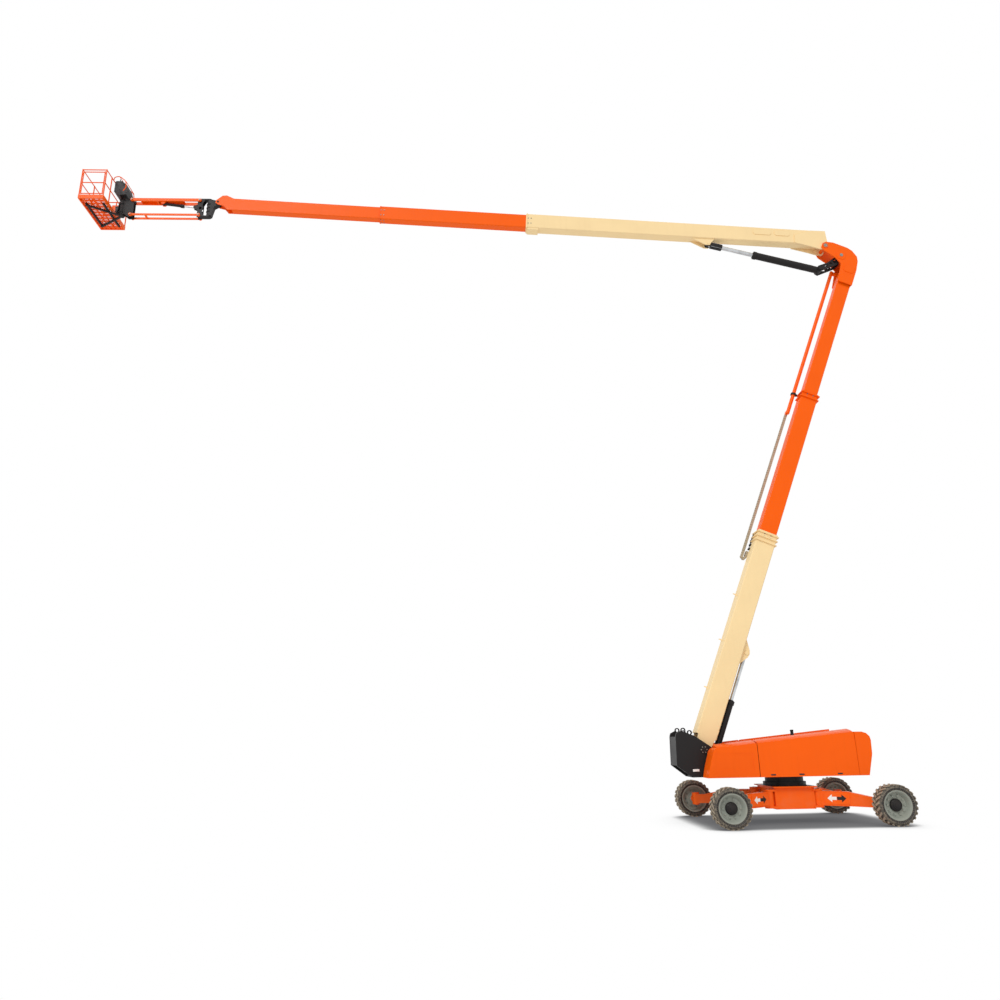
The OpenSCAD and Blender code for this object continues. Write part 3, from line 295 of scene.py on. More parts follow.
def enamel(name, rgb, rough, dust_rgb, dust_level):
    """Sprayed machine enamel: slight fading, drip streaks, edges darkened in patches as wear and as painted shade,
    and dry soil low down.
    """
    finish = Finish(name)
    fading = finish.noise(0.9, 2.0).ramp(0.3, 0.7)
    streaks = finish.noise(1.0, 4.0, place=finish.stretched(9, 9, 0.7)).ramp(0.45, 0.8)
    base = finish.mix(fading * 0.5, scaled(rgb, 0.96), scaled(rgb, 1.04))
    base = finish.mix(streaks * 0.10, base, scaled(rgb, 0.72))
    # Edges and creases darkened in patches: partly wear, partly painted shade along the edges.
    edge_wear_and_shade = finish.edges(0.012) * finish.noise(14.0, 4.0).ramp(0.42, 0.62)
    base = finish.mix(edge_wear_and_shade * 0.35, base, scaled(rgb, 0.55))
    soil = finish.noise(2.6, 5.0, 0.65).ramp(0.3, 0.75)
    low = finish.axis("Z").ramp(DUST_TOP, DUST_FULL)
    lying = finish.axis("Z", finish.normal()).ramp(0.6, 0.98) * 0.3
    dust = ((low + lying) * soil * dust_level).limited()
    finish.put("Base Color", finish.mix(dust, base, dust_rgb))
    finish.put("Roughness", (dust * 0.45 + edge_wear_and_shade * 0.25 + fading * 0.08 + rough).limited())
    finish.put("Specular IOR Level", 0.14)
    finish.put("Coat Roughness", 0.12)
    finish.put("Coat Weight", (0.05 - dust * 0.1).limited())
    finish.relief(finish.noise(60.0, 2.0) * 0.4 + finish.noise(320.0, 1.0) * 0.6, 0.05, 0.001)
    return finish.material


def hard_chrome(name):
    """Ground and plated rod with faint rings and a film of oil."""
    finish = Finish(name)
    rings = finish.noise(1.0, 3.0, place=finish.stretched(2, 60, 2))
    film = finish.noise(3.0, 3.0).ramp(0.35, 0.7)
    finish.put("Base Color", finish.mix(film, linear(206, 208, 210), linear(176, 178, 180)))
    finish.put("Metallic", 1.0)
    finish.put("Roughness", (rings * 0.10 + film * 0.12 + 0.14).limited())
    finish.relief(rings, 0.03, 0.001)
    return finish.material


def tyre_rubber(name, centre, rgb, dust_rgb, tread_radius):
    """Tyre rubber: dry soil packed over the tread and fading down the side walls, and a ring of painted shade in the
    notches between the shoulder lugs.
    """
    finish = Finish(name)
    spoke = finish.vectors("SUBTRACT", finish.place, centre)
    flat = finish.vectors("MULTIPLY", spoke, (1, 0, 1))
    radius = finish.vectors("LENGTH", flat, out="Value")
    angle = finish.maths("ARCTAN2", finish.axis("Z", spoke), finish.axis("X", spoke))
    step = finish.maths("PINGPONG", angle * (SHOULDER_TICKS / math.tau), 0.5)
    band = (radius.ramp(tread_radius * 0.740, tread_radius * 0.755)
            * radius.ramp(tread_radius * 0.835, tread_radius * 0.815))
    # Painted shade: a ring of dark notches round the side wall between the shoulder lugs, with less dust in them.
    painted_notch_shade = band * step.ramp(0.42, 0.34)
    soil = finish.noise(9.0, 6.0, 0.7)
    blotch = finish.noise(26.0, 4.0, 0.7).ramp(0.40, 0.58)
    cake = radius.ramp(tread_radius - 0.022, tread_radius - 0.004)
    dust = (cake * 0.55 + soil.ramp(0.35, 0.8) * 0.35 + blotch * 0.30 - painted_notch_shade * 1.2 - 0.06).limited()
    speckle = finish.noise(70.0, 3.0).ramp(0.4, 0.7)
    mud = finish.mix(speckle * 0.5, dust_rgb, scaled(dust_rgb, 0.6))
    base = finish.mix(painted_notch_shade, rgb, scaled(rgb, 0.3))
    finish.put("Base Color", finish.mix(dust, base, mud))
    finish.put("Roughness", (dust * 0.25 + 0.62).limited())
    finish.relief(soil * 0.5 + finish.noise(140.0, 3.0) * 0.5 - painted_notch_shade * 1.5, 0.35, 0.004)
    return finish.material


def moulded(name, rgb, rough=0.55, grain=300.0):
    """Moulded plastic or rubber with a fine grain and handling marks."""
    finish = Finish(name)
    marks = finish.noise(7.0, 4.0).ramp(0.4, 0.75)
    scuffs = finish.edges(0.006) * finish.noise(30.0, 3.0).ramp(0.4, 0.6)
    base = finish.mix(marks * 0.3, rgb, scaled(rgb, 1.5))
    finish.put("Base Color", finish.mix(scuffs * 0.4, base, scaled(rgb, 2.4)))
    finish.put("Roughness", (marks * 0.18 + rough).limited())
    finish.relief(finish.noise(grain, 2.0), 0.12, 0.001)
    return finish.material


def casting(name, rgb):
    """Painted iron casting with an open grain and oil stains."""
    finish = Finish(name)
    stains = finish.noise(4.0, 5.0, 0.7).ramp(0.45, 0.7)
    finish.put("Base Color", finish.mix(stains * 0.7, rgb, scaled(rgb, 0.35)))
    finish.put("Metallic", 0.3)
    finish.put("Roughness", (0.62 - stains * 0.25).limited())
    finish.relief(finish.noise(90.0, 4.0), 0.4, 0.003)
    return finish.material


def zinc(name):
    """Zinc-plated fastener, dulled in patches."""
    finish = Finish(name)
    dull = finish.noise(35.0, 4.0).ramp(0.35, 0.7)
    finish.put("Base Color", finish.mix(dull, linear(168, 168, 160), linear(112, 108, 98)))
    finish.put("Metallic", 0.85)
    finish.put("Roughness", (dull * 0.25 + 0.32).limited())
    return finish.material


def lens(name, rgb):
    """Lamp lens with moulded ribs."""
    finish = Finish(name)
    ribs = finish.node("ShaderNodeTexWave", {"wave_type": "BANDS", "bands_direction": "Z"},
                       {"Vector": finish.place, "Scale": 40.0, "Distortion": 0.0})
    finish.put("Base Color", finish.mix(ribs, rgb, scaled(rgb, 0.6)))
    finish.put("Roughness", (ribs * 0.1 + 0.12).limited())
    finish.put("Coat Weight", 0.6)
    finish.relief(ribs, 0.3, 0.003)
    return finish.material


FINISHES = {}


def circle(number):
    """Cosine and sine at even steps round a circle."""
    angles = [2 * math.pi * k / number for k in range(number)]
    return [(math.cos(angle), math.sin(angle)) for angle in angles]


def facing_along(direction):
    """The turn that lays z along a direction."""
    return Vector(direction).normalized().to_track_quat("Z", "Y").to_matrix()


class Shape:
    """A mesh being put together in a frame of its own."""

    def __init__(self, place=None):
        self.mesh = bmesh.new()
        self.place = place or Matrix.Identity(4)

    def block(self, low, high, round_off=0.0):
        """A box between two corners, with its edges rounded off."""
        low, high = Vector(low), Vector(high)
        made = bmesh.ops.create_cube(self.mesh, size=1.0)["verts"]
        size = Matrix.Diagonal((*(high - low), 1))
        bmesh.ops.transform(self.mesh, matrix=Matrix.Translation((low + high) / 2) @ size, verts=made)
        if round_off:
            edges = list({edge for vert in made for edge in vert.link_edges})
            bmesh.ops.bevel(self.mesh, geom=edges, offset=round_off, segments=2, profile=0.5, affect="EDGES")

    def prism(self, outline, low, high):
        """An outline in the side view, given thickness across."""
        self.bridge([(a, low, b) for a, b in outline], [(a, high, b) for a, b in outline])

    def bridge(self, near, far):
        """A solid between two outlines with as many corners."""
        near, far = ([self.mesh.verts.new(corner) for corner in outline] for outline in (near, far))
        self.mesh.faces.new(near)
        self.mesh.faces.new(far[::-1])
        for i in range(len(near)):
            j = (i + 1) % len(near)
            self.mesh.faces.new((near[j], near[i], far[i], far[j]))

    def loft(self, rings, segments):
        """Faces from ring to ring. A ring may be a single point."""
        for low, high in zip(rings, rings[1:]):
            for k in range(segments):
                j = (k + 1) % segments
                quad = (low[k % len(low)], low[j % len(low)], high[j % len(high)], high[k % len(high)])
                corners = list(dict.fromkeys(quad))
                if len(corners) > 2:
                    self.mesh.faces.new(corners)

    def turned(self, profile, origin, direction, segments=40):
        """A profile of radius and height turned about a line."""
        place = Matrix.Translation(origin) @ facing_along(direction).to_4x4()
        rings = []
        for radius, height in profile:
            spokes = circle(segments) if radius else [(0, 0)]
            rings.append([self.mesh.verts.new(place @ Vector((radius * a, radius * b, height))) for a, b in spokes])
        self.loft(rings, segments)

    def band(self, inner, outer, half, origin, direction, segments=40):
        """A plain ring round a line."""
        self.turned([(inner, -half), (outer, -half), (outer, half), (inner, half), (inner, -half)],
                    origin, direction, segments)

    def pipe(self, points, radius, segments=12):
        """A round pipe through points, with its bends mitred and its ends capped."""
        points = [Vector(p) for p in points]
        ways = [(after - before).normalized() for before, after in zip(points, points[1:])]
        side = ways[0].orthogonal().normalized()
        rings = []
        for point, first, second in zip(points, ways[:1] + ways, ways + ways[-1:]):
            along = (first + second).normalized()
            side = (side - along * side.dot(along)).normalized()
            other = along.cross(side)
            rings.append([self.mesh.verts.new(point + radius * (side * a + other * b)) for a, b in circle(segments)])
        self.loft(rings, segments)
        self.mesh.faces.new(rings[0][::-1])
        self.mesh.faces.new(rings[-1])

    def piece(self, name, finish, body):
        """The finished piece, at the origin with its place in its mesh, riding on a body."""
        bmesh.ops.transform(self.mesh, matrix=self.place, verts=self.mesh.verts)
        bmesh.ops.recalc_face_normals(self.mesh, faces=self.mesh.faces)
        data = bpy.data.meshes.new(name)
        self.mesh.to_mesh(data)
        self.mesh.free()
        settle(name, data, finish, body)


def settle(name, data, finish, body):
    """Shade a mesh, give it its finish and let it ride."""
    data.materials.clear()
    data.materials.append(FINISHES[finish])
    data.shade_smooth()
    made = bpy.data.objects.new(name, data)
    bpy.context.scene.collection.objects.link(made)
    data.set_sharp_from_angle(angle=SHARP_FROM)
    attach(made, body)
    return made


def arc(centre, radius, start, end, steps, frame_x, frame_y):
    """Points on an arc in the plane of two directions, angles in degrees."""
    points = []
    for k in range(steps + 1):
        angle = math.radians(start + (end - start) * k / steps)
        spoke = math.cos(angle) * Vector(frame_x) + math.sin(angle) * Vector(frame_y)
        points.append(Vector(centre) + radius * spoke)
    return points


def rounded(points, radius, steps=5):
    """A polyline with its corners rounded off."""
    points = [Vector(p) for p in points]
    made = [points[0]]
    for before, corner, after in zip(points, points[1:], points[2:]):
        reach = min(radius, (corner - before).length * 0.45, (after - corner).length * 0.45)
        start = corner + (before - corner).normalized() * reach
        end = corner + (after - corner).normalized() * reach
        for k in range(steps + 1):
            t = k / steps
            made.append(start * (1 - t) ** 2 + corner * 2 * t * (1 - t) + end * t * t)
    return made + [points[-1]]


def chamfered(a, b, c, d, cut):
    """Outline of a rectangle with its corners cut off."""
    return [(a + cut, c), (b - cut, c), (b, c + cut), (b, d - cut),
            (b - cut, d), (a + cut, d), (a, d - cut), (a, c + cut)]


class Nodes:
    """A Geometry Nodes tree with named inputs."""

    def __init__(self, name):
        self.tree = bpy.data.node_groups.new(name, "GeometryNodeTree")
        self.tree.interface.new_socket("Geometry", in_out="INPUT", socket_type="NodeSocketGeometry")
        self.tree.interface.new_socket("Geometry", in_out="OUTPUT", socket_type="NodeSocketGeometry")
        self.source = self.tree.nodes.new("NodeGroupInput")
        self.result = self.tree.nodes.new("NodeGroupOutput")
        self.keys = {}

    def input(self, name, kind="NodeSocketFloat"):
        socket = self.tree.interface.new_socket(name, in_out="INPUT", socket_type=kind)
        self.keys[name] = socket.identifier
        return self.source.outputs[name]

    def add(self, kind, settings=None, sockets=None, out=0):
        return add_node(self.tree, kind, settings, sockets).outputs[out]

    def times(self, value, factor):
        return self.add("ShaderNodeMath", {"operation": "MULTIPLY"}, {0: value, 1: factor})

    def vector(self, **parts):
        return self.add("ShaderNodeCombineXYZ", None, parts)

    def moved(self, geometry, way):
        return self.add("GeometryNodeTransform", None, {"Geometry": geometry, "Translation": way})

    def joined(self, parts):
        both = self.tree.nodes.new("GeometryNodeJoinGeometry")
        for part in parts:
            self.tree.links.new(part, both.inputs[0])
        return both.outputs[0]

    def spread(self, points, shape, turn):
        return self.add("GeometryNodeInstanceOnPoints", None, {
            "Points": points, "Instance": shape, "Rotation": turn})

    def seed(self):
        return self.source.outputs["Geometry"]

    def end(self, geometry):
        material = self.input("Material", "NodeSocketMaterial")
        real = self.add("GeometryNodeRealizeInstances", None, {"Geometry": geometry})
        dressed = self.add("GeometryNodeSetMaterial", None, {"Geometry": real, "Material": material})
        self.tree.links.new(dressed, self.result.inputs["Geometry"])
        return self

    def grow(self, name, seed_mesh, finish, body, values):
        """Run the tree on a mesh and keep the result as a plain piece."""
        host = bpy.data.objects.new(name + "_seed", seed_mesh)
        bpy.context.scene.collection.objects.link(host)
        modifier = host.modifiers.new("nodes", "NODES")
        modifier.node_group = self.tree
        for key, value in {**values, "Material": FINISHES[finish]}.items():
            modifier[self.keys[key]] = value
        bpy.context.view_layer.update()
        graph = bpy.context.evaluated_depsgraph_get()
        data = bpy.data.meshes.new_from_object(host.evaluated_get(graph), depsgraph=graph)
        data.name = name
        host.modifiers.clear()
        bpy.data.objects.remove(host)
        return settle(name, data, finish, body)


TREES = {}


def heads_tree():
    """Hexagon heads on washers at points, each standing along the point's facing vector."""
    nodes = Nodes("hexagon_heads")
    size, height = nodes.input("Size"), nodes.input("Height")

    def disc(corners, radius, depth):
        return nodes.add("GeometryNodeMeshCylinder", {"fill_type": "NGON"}, {
            "Vertices": corners, "Radius": radius, "Depth": depth}, "Mesh")

    head = nodes.moved(disc(6, size, height), nodes.vector(Z=nodes.times(height, 0.5)))
    washer = disc(16, nodes.times(size, 1.35), nodes.times(height, 0.25))
    facing = nodes.add("GeometryNodeInputNamedAttribute", {"data_type": "FLOAT_VECTOR"}, {"Name": "facing"},
                       "Attribute")
    turn = nodes.add("FunctionNodeAlignRotationToVector", {"axis": "Z"}, {"Vector": facing})
    return nodes.end(nodes.spread(nodes.seed(), nodes.joined([head, washer]), turn))


def links_tree():
    """Links of a cable carrier along a path: two side plates, two cross bars and two joints each."""
    nodes = Nodes("carrier_links")
    pitch, width, depth = nodes.input("Pitch"), nodes.input("Width"), nodes.input("Depth")
    curve = nodes.add("GeometryNodeMeshToCurve", None, {"Mesh": nodes.seed()})
    spaced = nodes.add("GeometryNodeResampleCurve", {"mode": "LENGTH"}, {"Curve": curve, "Length": pitch})
    turn = nodes.add("FunctionNodeAlignRotationToVector", {"axis": "X"}, {
        "Vector": nodes.add("GeometryNodeInputTangent")})
    keep = nodes.add("FunctionNodeAlignRotationToVector", {"axis": "Y", "pivot_axis": "X"}, {
        "Rotation": turn, "Vector": ACROSS})
    parts = []
    for shares, axis, full, shift in (((0.92, 0.12, 1.0), "Y", width, 0.44), ((0.40, 0.9, 0.16), "Z", depth, 0.40),
                                      ((1.08, 0.05, 0.6), "Y", width, 0.36)):
        x, y, z = (nodes.times(value, part) for value, part in zip((pitch, width, depth), shares))
        for side in (-1, 1):
            cube = nodes.add("GeometryNodeMeshCube", None, {"Size": nodes.vector(X=x, Y=y, Z=z)}, "Mesh")
            parts.append(nodes.moved(cube, nodes.vector(**{axis: nodes.times(full, side * shift)})))
    return nodes.end(nodes.spread(spaced, nodes.joined(parts), keep))


def bars_tree():
    """Straight bars along the edges of a mesh of lines, square in section."""
    nodes = Nodes("line_bars")
    radius = nodes.input("Radius")
    curve = nodes.add("GeometryNodeMeshToCurve", None, {"Mesh": nodes.seed()})
    section = nodes.add("GeometryNodeCurvePrimitiveCircle", None, {"Resolution": 4, "Radius": radius})
    return nodes.end(nodes.add("GeometryNodeCurveToMesh", None, {
        "Curve": curve, "Profile Curve": section, "Fill Caps": True}))


def points_mesh(name, points, facing):
    data = bpy.data.meshes.new(name)
    data.from_pydata([tuple(p) for p in points], [], [])
    attribute = data.attributes.new("facing", "FLOAT_VECTOR", "POINT")
    attribute.data.foreach_set("vector", [part for vector in facing for part in vector])
    return data


def lines_mesh(name, lines):
    data = bpy.data.meshes.new(name)
    points, edges = [], []
    for line in lines:
        start = len(points)
        points += [tuple(p) for p in line]
        edges += [(start + k, start + k + 1) for k in range(len(line) - 1)]
    data.from_pydata(points, edges, [])
    return data


def heads(name, places, body, size, height, finish="zinc"):
    """Bolt heads at (point, facing) places."""
    seeds = points_mesh(name + "_points", *zip(*places))
    TREES["heads"].grow(name, seeds, finish, body, {"Size": size, "Height": height})


def ring_of(centre, direction, radius, number):
    """Places on a circle round a line."""
    turn = facing_along(direction)
    return [(Vector(centre) + turn @ Vector((radius * a, radius * b, 0)), Vector(direction).normalized())
            for a, b in circle(number)]


class LIFT_OT_stage(bpy.types.Operator):
    """Make the floor, the light and the camera"""
    bl_idname = "lift.stage"
    bl_label = "Stage"

    shown_rays = ("Is Camera Ray", "Is Glossy Ray", "Is Transmission Ray")

    def execute(self, context):
        settings = context.scene.lift.stage
        context.scene.view_settings.view_transform = "Standard"
        self.floor(settings)
        self.light(context, settings)
        self.camera(context, settings)
        return {"FINISHED"}

    def floor(self, settings):
        reach = 600.0
        data = bpy.data.meshes.new("floor")
        corners = [(-reach, -reach, 0), (reach, -reach, 0), (reach, reach, 0), (-reach, reach, 0)]
        data.from_pydata(corners, [], [(0, 1, 2, 3)])
        floor = bpy.data.objects.new("floor", data)
        bpy.context.scene.collection.objects.link(floor)
        finish = Finish("studio_floor")
        finish.put("Base Color", (*settings.floor, 1))
        finish.put("Roughness", 0.9)
        finish.put("Specular IOR Level", 0.0)
        seen, mirrored, through = (finish.node("ShaderNodeLightPath", out=ray) for ray in self.shown_rays)
        shown = (seen + mirrored + through).limited()
        # Painted shadow: camera, glossy and transmission rays see a dark emission under the machine and white
        # emission elsewhere. The dark emission is mixed in by ambient occlusion and by a mask of the wheels'
        # footprint.
        open_sky = finish.node("ShaderNodeAmbientOcclusion", {"samples": 12}, {
            "Distance": settings.shade}, out="AO")
        dark = finish.node("ShaderNodeEmission", None, {"Color": (0.10, 0.10, 0.105, 1), "Strength": 1.0})
        white = finish.node("ShaderNodeEmission", None, {"Color": WHITE, "Strength": 1.0})
        reach_x = max(abs(pin("steer_" + corner).x - SLEW.x) for corner in CORNERS)
        reach_y = max(abs(pin("steer_" + corner).y) for corner in CORNERS)
        away_x = self.beyond(finish, finish.axis("X") - SLEW.x, reach_x)
        away_y = self.beyond(finish, finish.axis("Y"), reach_y)
        outside = (away_x * away_x + away_y * away_y).ramp(0.0, 0.8, 0.12, 1.0)
        painted_floor_shadow = finish.node("ShaderNodeMixShader", None, {
            0: open_sky.ramp(0.10, 0.92) * outside, 1: dark, 2: white})
        both = finish.node("ShaderNodeMixShader", None, {
            0: shown, 1: Value(finish, finish.shader.outputs[0]), 2: painted_floor_shadow})
        feed(finish.tree, node_of(finish.tree, "OUTPUT_MATERIAL").inputs["Surface"], both)
        data.materials.append(finish.material)

    def beyond(self, finish, value, limit):
        """How far a coordinate lies outside the wheels, on either side."""
        return finish.maths("MAXIMUM", finish.maths("ABSOLUTE", value) - limit)

    def light(self, context, settings):
        world = bpy.data.worlds.new("studio")
        context.scene.world = world
        world.use_nodes = True
        tree = world.node_tree
        background = node_of(tree, "BACKGROUND")
        feed(tree, background.inputs["Color"], WHITE)
        feed(tree, background.inputs["Strength"], settings.sky)
        white = add_node(tree, "ShaderNodeBackground", None, {"Color": WHITE, "Strength": 1.0})
        path = add_node(tree, "ShaderNodeLightPath")
        shown, *others = (path.outputs[ray] for ray in self.shown_rays)
        for other in others:
            shown = add_node(tree, "ShaderNodeMath", {"operation": "MAXIMUM"}, {0: shown, 1: other}).outputs[0]
        mix = add_node(tree, "ShaderNodeMixShader", None, {
            0: shown, 1: background.outputs[0], 2: white.outputs[0]})
        feed(tree, node_of(tree, "OUTPUT_WORLD").inputs["Surface"], mix.outputs[0])
        lamp = bpy.data.lights.new("key", "SUN")
        lamp.energy = settings.sun
        lamp.angle = math.radians(30)
        key = bpy.data.objects.new("key", lamp)
        key.rotation_mode = "QUATERNION"
        key.rotation_quaternion = Vector((0.35, 0.62, -0.70)).to_track_quat("-Z", "Y")
        context.scene.collection.objects.link(key)

    def camera(self, context, settings):
        tilt, roll, yaw = math.radians(16.876), math.radians(-1.006), math.radians(2.301)
        ahead = Vector((math.sin(yaw), math.cos(yaw), 0))
        side = Vector((math.cos(yaw), -math.sin(yaw), 0))
        forward = ahead * math.cos(tilt) + UP * math.sin(tilt)
        upward = UP * math.cos(tilt) - ahead * math.sin(tilt)
        right = side * math.cos(roll) + upward * math.sin(roll)
        top = upward * math.cos(roll) - side * math.sin(roll)
        data = bpy.data.cameras.new("camera")
        data.sensor_width = 36.0
        data.lens = settings.focal
        data.clip_end = 2000.0
        camera = bpy.data.objects.new("camera", data)
        turn = Matrix((right, top, -forward)).transposed().to_4x4()
        eye = (SLEW.x - 9.800, -25.663, 2.644)
        camera.matrix_world = Matrix.Translation(eye) @ turn
        context.scene.collection.objects.link(camera)
        context.scene.camera = camera


class LIFT_OT_paint(bpy.types.Operator):
    """Make the finishes and give every CAD node its own"""
    bl_idname = "lift.paint"
    bl_label = "Paint"

    def execute(self, context):
        paint = context.scene.lift.paint
        dust, level, gloss = tuple(paint.dust), paint.dust_level, paint.enamel_gloss
        for name, rgb, rougher, dustier in (
                ("orange", paint.orange, 0.0, 1.0), ("cream", paint.cream, 0.06, 0.6),
                ("black", paint.black, 0.10, 0.8), ("hub", paint.black, 0.14, 0.25),
                ("rim", paint.rim, 0.10, 1.2), ("white", paint.arrow_white, 0.05, 0.5)):
            FINISHES[name] = enamel(name + "_enamel", tuple(rgb), gloss + rougher, dust, level * dustier)
        FINISHES.update({
            "chrome": hard_chrome("hard_chrome"),
            "plastic": moulded("moulded_plastic", tuple(paint.plastic)),
            "hose": moulded("hose_rubber", scaled(paint.plastic, 0.8), 0.6, 500.0),
            "carrier": moulded("carrier_plastic", tuple(paint.chain), 0.6, 200.0),
            "iron": casting("engine_iron", tuple(paint.iron)),
            "zinc": zinc("zinc_plate"),
            "lamp": lens("tail_lens", tuple(paint.lamp)),
        })
        for corner in CORNERS:
            low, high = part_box("tyre_" + corner)
            FINISHES["tyre_" + corner] = tyre_rubber(
                "tyre_rubber_" + corner, (low + high) / 2, tuple(paint.rubber), dust, (high.z - low.z) / 2)
        by_slot = {
            "orange_paint": "orange", "cream_paint": "cream", "black_paint": "black", "chrome_rod": "chrome",
            "rim_grey": "rim", "engine_iron": "iron", "chain_grey": "carrier", "black_plastic": "plastic",
        }
        slots = {part["node"]: part["material_slot"] for part in frame["record"]["subparts"]}
        for node, part in frame["nodes"].items():
            finish = node if node.startswith("tyre_") else by_slot[slots[node]]
            part.data.materials.clear()
            part.data.materials.append(FINISHES[finish])
        TREES.update({"heads": heads_tree(), "links": links_tree(), "bars": bars_tree()})
        return {"FINISHED"}


class LIFT_OT_wheels(bpy.types.Operator):
    """Add hub covers, their bolts and the wheel nuts"""
    bl_idname = "lift.wheels"
    bl_label = "Wheels"

    def execute(self, context):
        wheel = context.scene.lift.wheel
        for corner, (_, side) in CORNERS.items():
            low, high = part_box("tyre_" + corner)
            centre = (low + high) / 2
            width = high.y - low.y
            out = Vector((0, side, 0))
            body = "wheel_" + corner
            radius = wheel.hub_radius
            cover = Shape()
            cover.turned([
                (0, 0.152), (radius * 0.32, 0.152), (radius * 0.36, 0.148), (radius * 0.37, 0.141),
                (radius * 0.56, 0.139), (radius * 0.60, 0.134), (radius * 0.63, 0.121), (radius * 0.84, 0.107),
                (radius * 0.89, 0.100), (radius * 0.96, 0.084), (radius, 0.064), (radius, 0.02), (0, 0.02),
            ], centre, out, 56)
            cover.piece("hub_cover_" + corner, "hub", body)
            heads("hub_bolts_" + corner, ring_of(centre + out * 0.110, out, radius * 0.75, 12), body,
                  0.011, 0.012, "hub")
            seat = centre + out * width * 0.095
            heads("wheel_nuts_" + corner, ring_of(seat, out, wheel.nut_circle, wheel.nut_count), body,
                  wheel.nut_size, 0.035, "rim")
        return {"FINISHED"}


class LIFT_OT_turntable(bpy.types.Operator):
    """Add latches, crowned roofs, lamps and the exhaust to the turntable"""
    bl_idname = "lift.turntable"
    bl_label = "Turntable"

    def execute(self, context):
        for side, name in ((-1, "left"), (1, "right")):
            low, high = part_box("hood_door_" + name)
            outer = low.y if side < 0 else high.y
            self.door_fittings(side, name, outer)
            self.crown(side, "hood_door_" + name, low.x + 0.012, high.x - 0.012, "hood_" + name)
            low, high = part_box("front_cover_" + name)
            self.crown(side, "front_cover_" + name, low.x + 0.34, high.x - 0.012, "turntable")
        self.exhaust()
        self.rear_end()
        self.uprights()
        return {"FINISHED"}

    def door_fittings(self, side, name, outer):
        body = "hood_" + name
        latch = Shape()
        for x in (SLEW.x - 0.70, SLEW.x + 0.17, SLEW.x + 1.35):
            inner, proud = outer - side * 0.004, outer + side * 0.006
            latch.block((x - 0.075, min(inner, proud), 1.385), (x + 0.075, max(inner, proud), 1.425), 0.003)
            latch.block((x - 0.03, min(inner, proud + side * 0.008), 1.395),
                        (x + 0.03, max(inner, proud + side * 0.008), 1.415), 0.002)
        latch.piece("hood_latches_" + name, "plastic", body)

    def crown(self, side, name, x0, x1, body):
        """Roof of a hood that rises from its outer edge to the channel, in line with the sloping top."""
        slope = heading("hood_left").z / heading("hood_left").x
        hinge = pin("hood_left")
        outer, inner = side * 1.008, side * 0.620
        roof = Shape()
        ends = []
        for x in (x0, x1):
            top = hinge.z + 0.034 + (x - hinge.x) * slope
            ends.append([(x, outer, top - 0.006), (x, outer, top + 0.004), (x, side * 0.85, top + 0.055),
                         (x, inner, top + 0.098), (x, inner, top - 0.006)])
        roof.bridge(*ends)
        bmesh.ops.recalc_face_normals(roof.mesh, faces=roof.mesh.faces)
        bmesh.ops.bevel(roof.mesh, geom=list(roof.mesh.edges), offset=0.010, segments=2, profile=0.5,
                        affect="EDGES")
        roof.piece("roof_of_" + name, "orange", body)

    def exhaust(self):
        foot = Vector((SLEW.x + 0.58, 0.372, 1.60))
        pipe = Shape()
        pipe.turned([(0.0, 0.0), (0.048, 0.0), (0.048, 1.06), (0.054, 1.06), (0.054, 1.10), (0.0, 1.105)],
                    foot, UP, 28)
        pipe.turned([(0.0, 0.0), (0.050, 0.0), (0.056, 0.02), (0.056, 0.30), (0.050, 0.33), (0.040, 0.34),
                     (0.0, 0.34)], foot + UP * 0.66, UP, 28)
        pipe.piece("exhaust_stack", "black", "turntable")

    def rear_end(self):
        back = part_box("counterweight")[1].x
        lamps = Shape()
        for side in (-1, 1):
            y = side * 0.78
            lamps.block((back - 0.046, y - 0.075, 1.655), (back - 0.012, y + 0.075, 1.745), 0.008)
        lamps.piece("tail_lamps", "lamp", "turntable")

    def uprights(self):
        foot = pin("tower_lift")
        places = []
        plates = Shape()
        for side in (-1, 1):
            face = side * 0.420
            places += ring_of((foot.x, face, foot.z), (0, side, 0), 0.090, 6)
            outside = side * 0.400
            edge = outside + side * 0.006
            near, far = sorted((outside, edge))
            plates.block((foot.x - 0.40, near, 1.51), (foot.x - 0.20, far, 1.58), 0.002)
        heads("upright_pin_bolts", places, "turntable", 0.014, 0.012)
        plates.piece("upright_plates", "white", "turntable")


class LIFT_OT_chassis(bpy.types.Operator):
    """Add drive arrows and pivot bolts to the chassis"""
    bl_idname = "lift.chassis"
    bl_label = "Chassis"

    def execute(self, context):
        for corner, (_, side) in CORNERS.items():
            pivot, king = pin("arm_swing_" + corner), pin("steer_" + corner)
            along = Vector((king.x - pivot.x, king.y - pivot.y, 0))
            reach = along.length
            along.normalize()
            out = Vector((along.y, -along.x, 0))
            if out.y * side < 0:
                out = -out
            right = UP.cross(out)
            centre = Vector((pivot.x, pivot.y, 0.70)) + along * reach * 0.285 + out * 0.1222
            self.arrows(corner, centre, right, out)
            caps = ring_of((pivot.x, pivot.y, 0.9703), (0, 0, 1), 0.040, 4)
            heads("pivot_bolts_" + corner, caps, "chassis", 0.012, 0.010)
        return {"FINISHED"}

    def arrows(self, corner, centre, right, out):
        """A pale arrow to the left and a dark one to the right, as thin plates."""
        half, head, shaft, tip = 0.265, 0.110, 0.045, 0.13
        outline = [(0.005, -shaft), (half - tip, -shaft), (half - tip, -head), (half, 0), (half - tip, head),
                   (half - tip, shaft), (0.005, shaft)]
        for sign, finish in ((-1, "white"), (1, "black")):
            place = Matrix((right, out, UP)).transposed().to_4x4()
            plate = Shape(Matrix.Translation(centre) @ place)
            plate.prism([(sign * a, b) for a, b in outline], -0.0005, 0.0025)
            plate.piece("drive_arrow_%s_%s" % (finish, corner), finish, "arm_" + corner)


def section_of(node, place):
    """Lowest and highest corner of a CAD node, in another frame."""
    back = place.inverted()
    local = [back @ vert.co for vert in frame["nodes"][node].data.vertices]
    return (Vector(min(p[k] for p in local) for k in range(3)), Vector(max(p[k] for p in local) for k in range(3)))


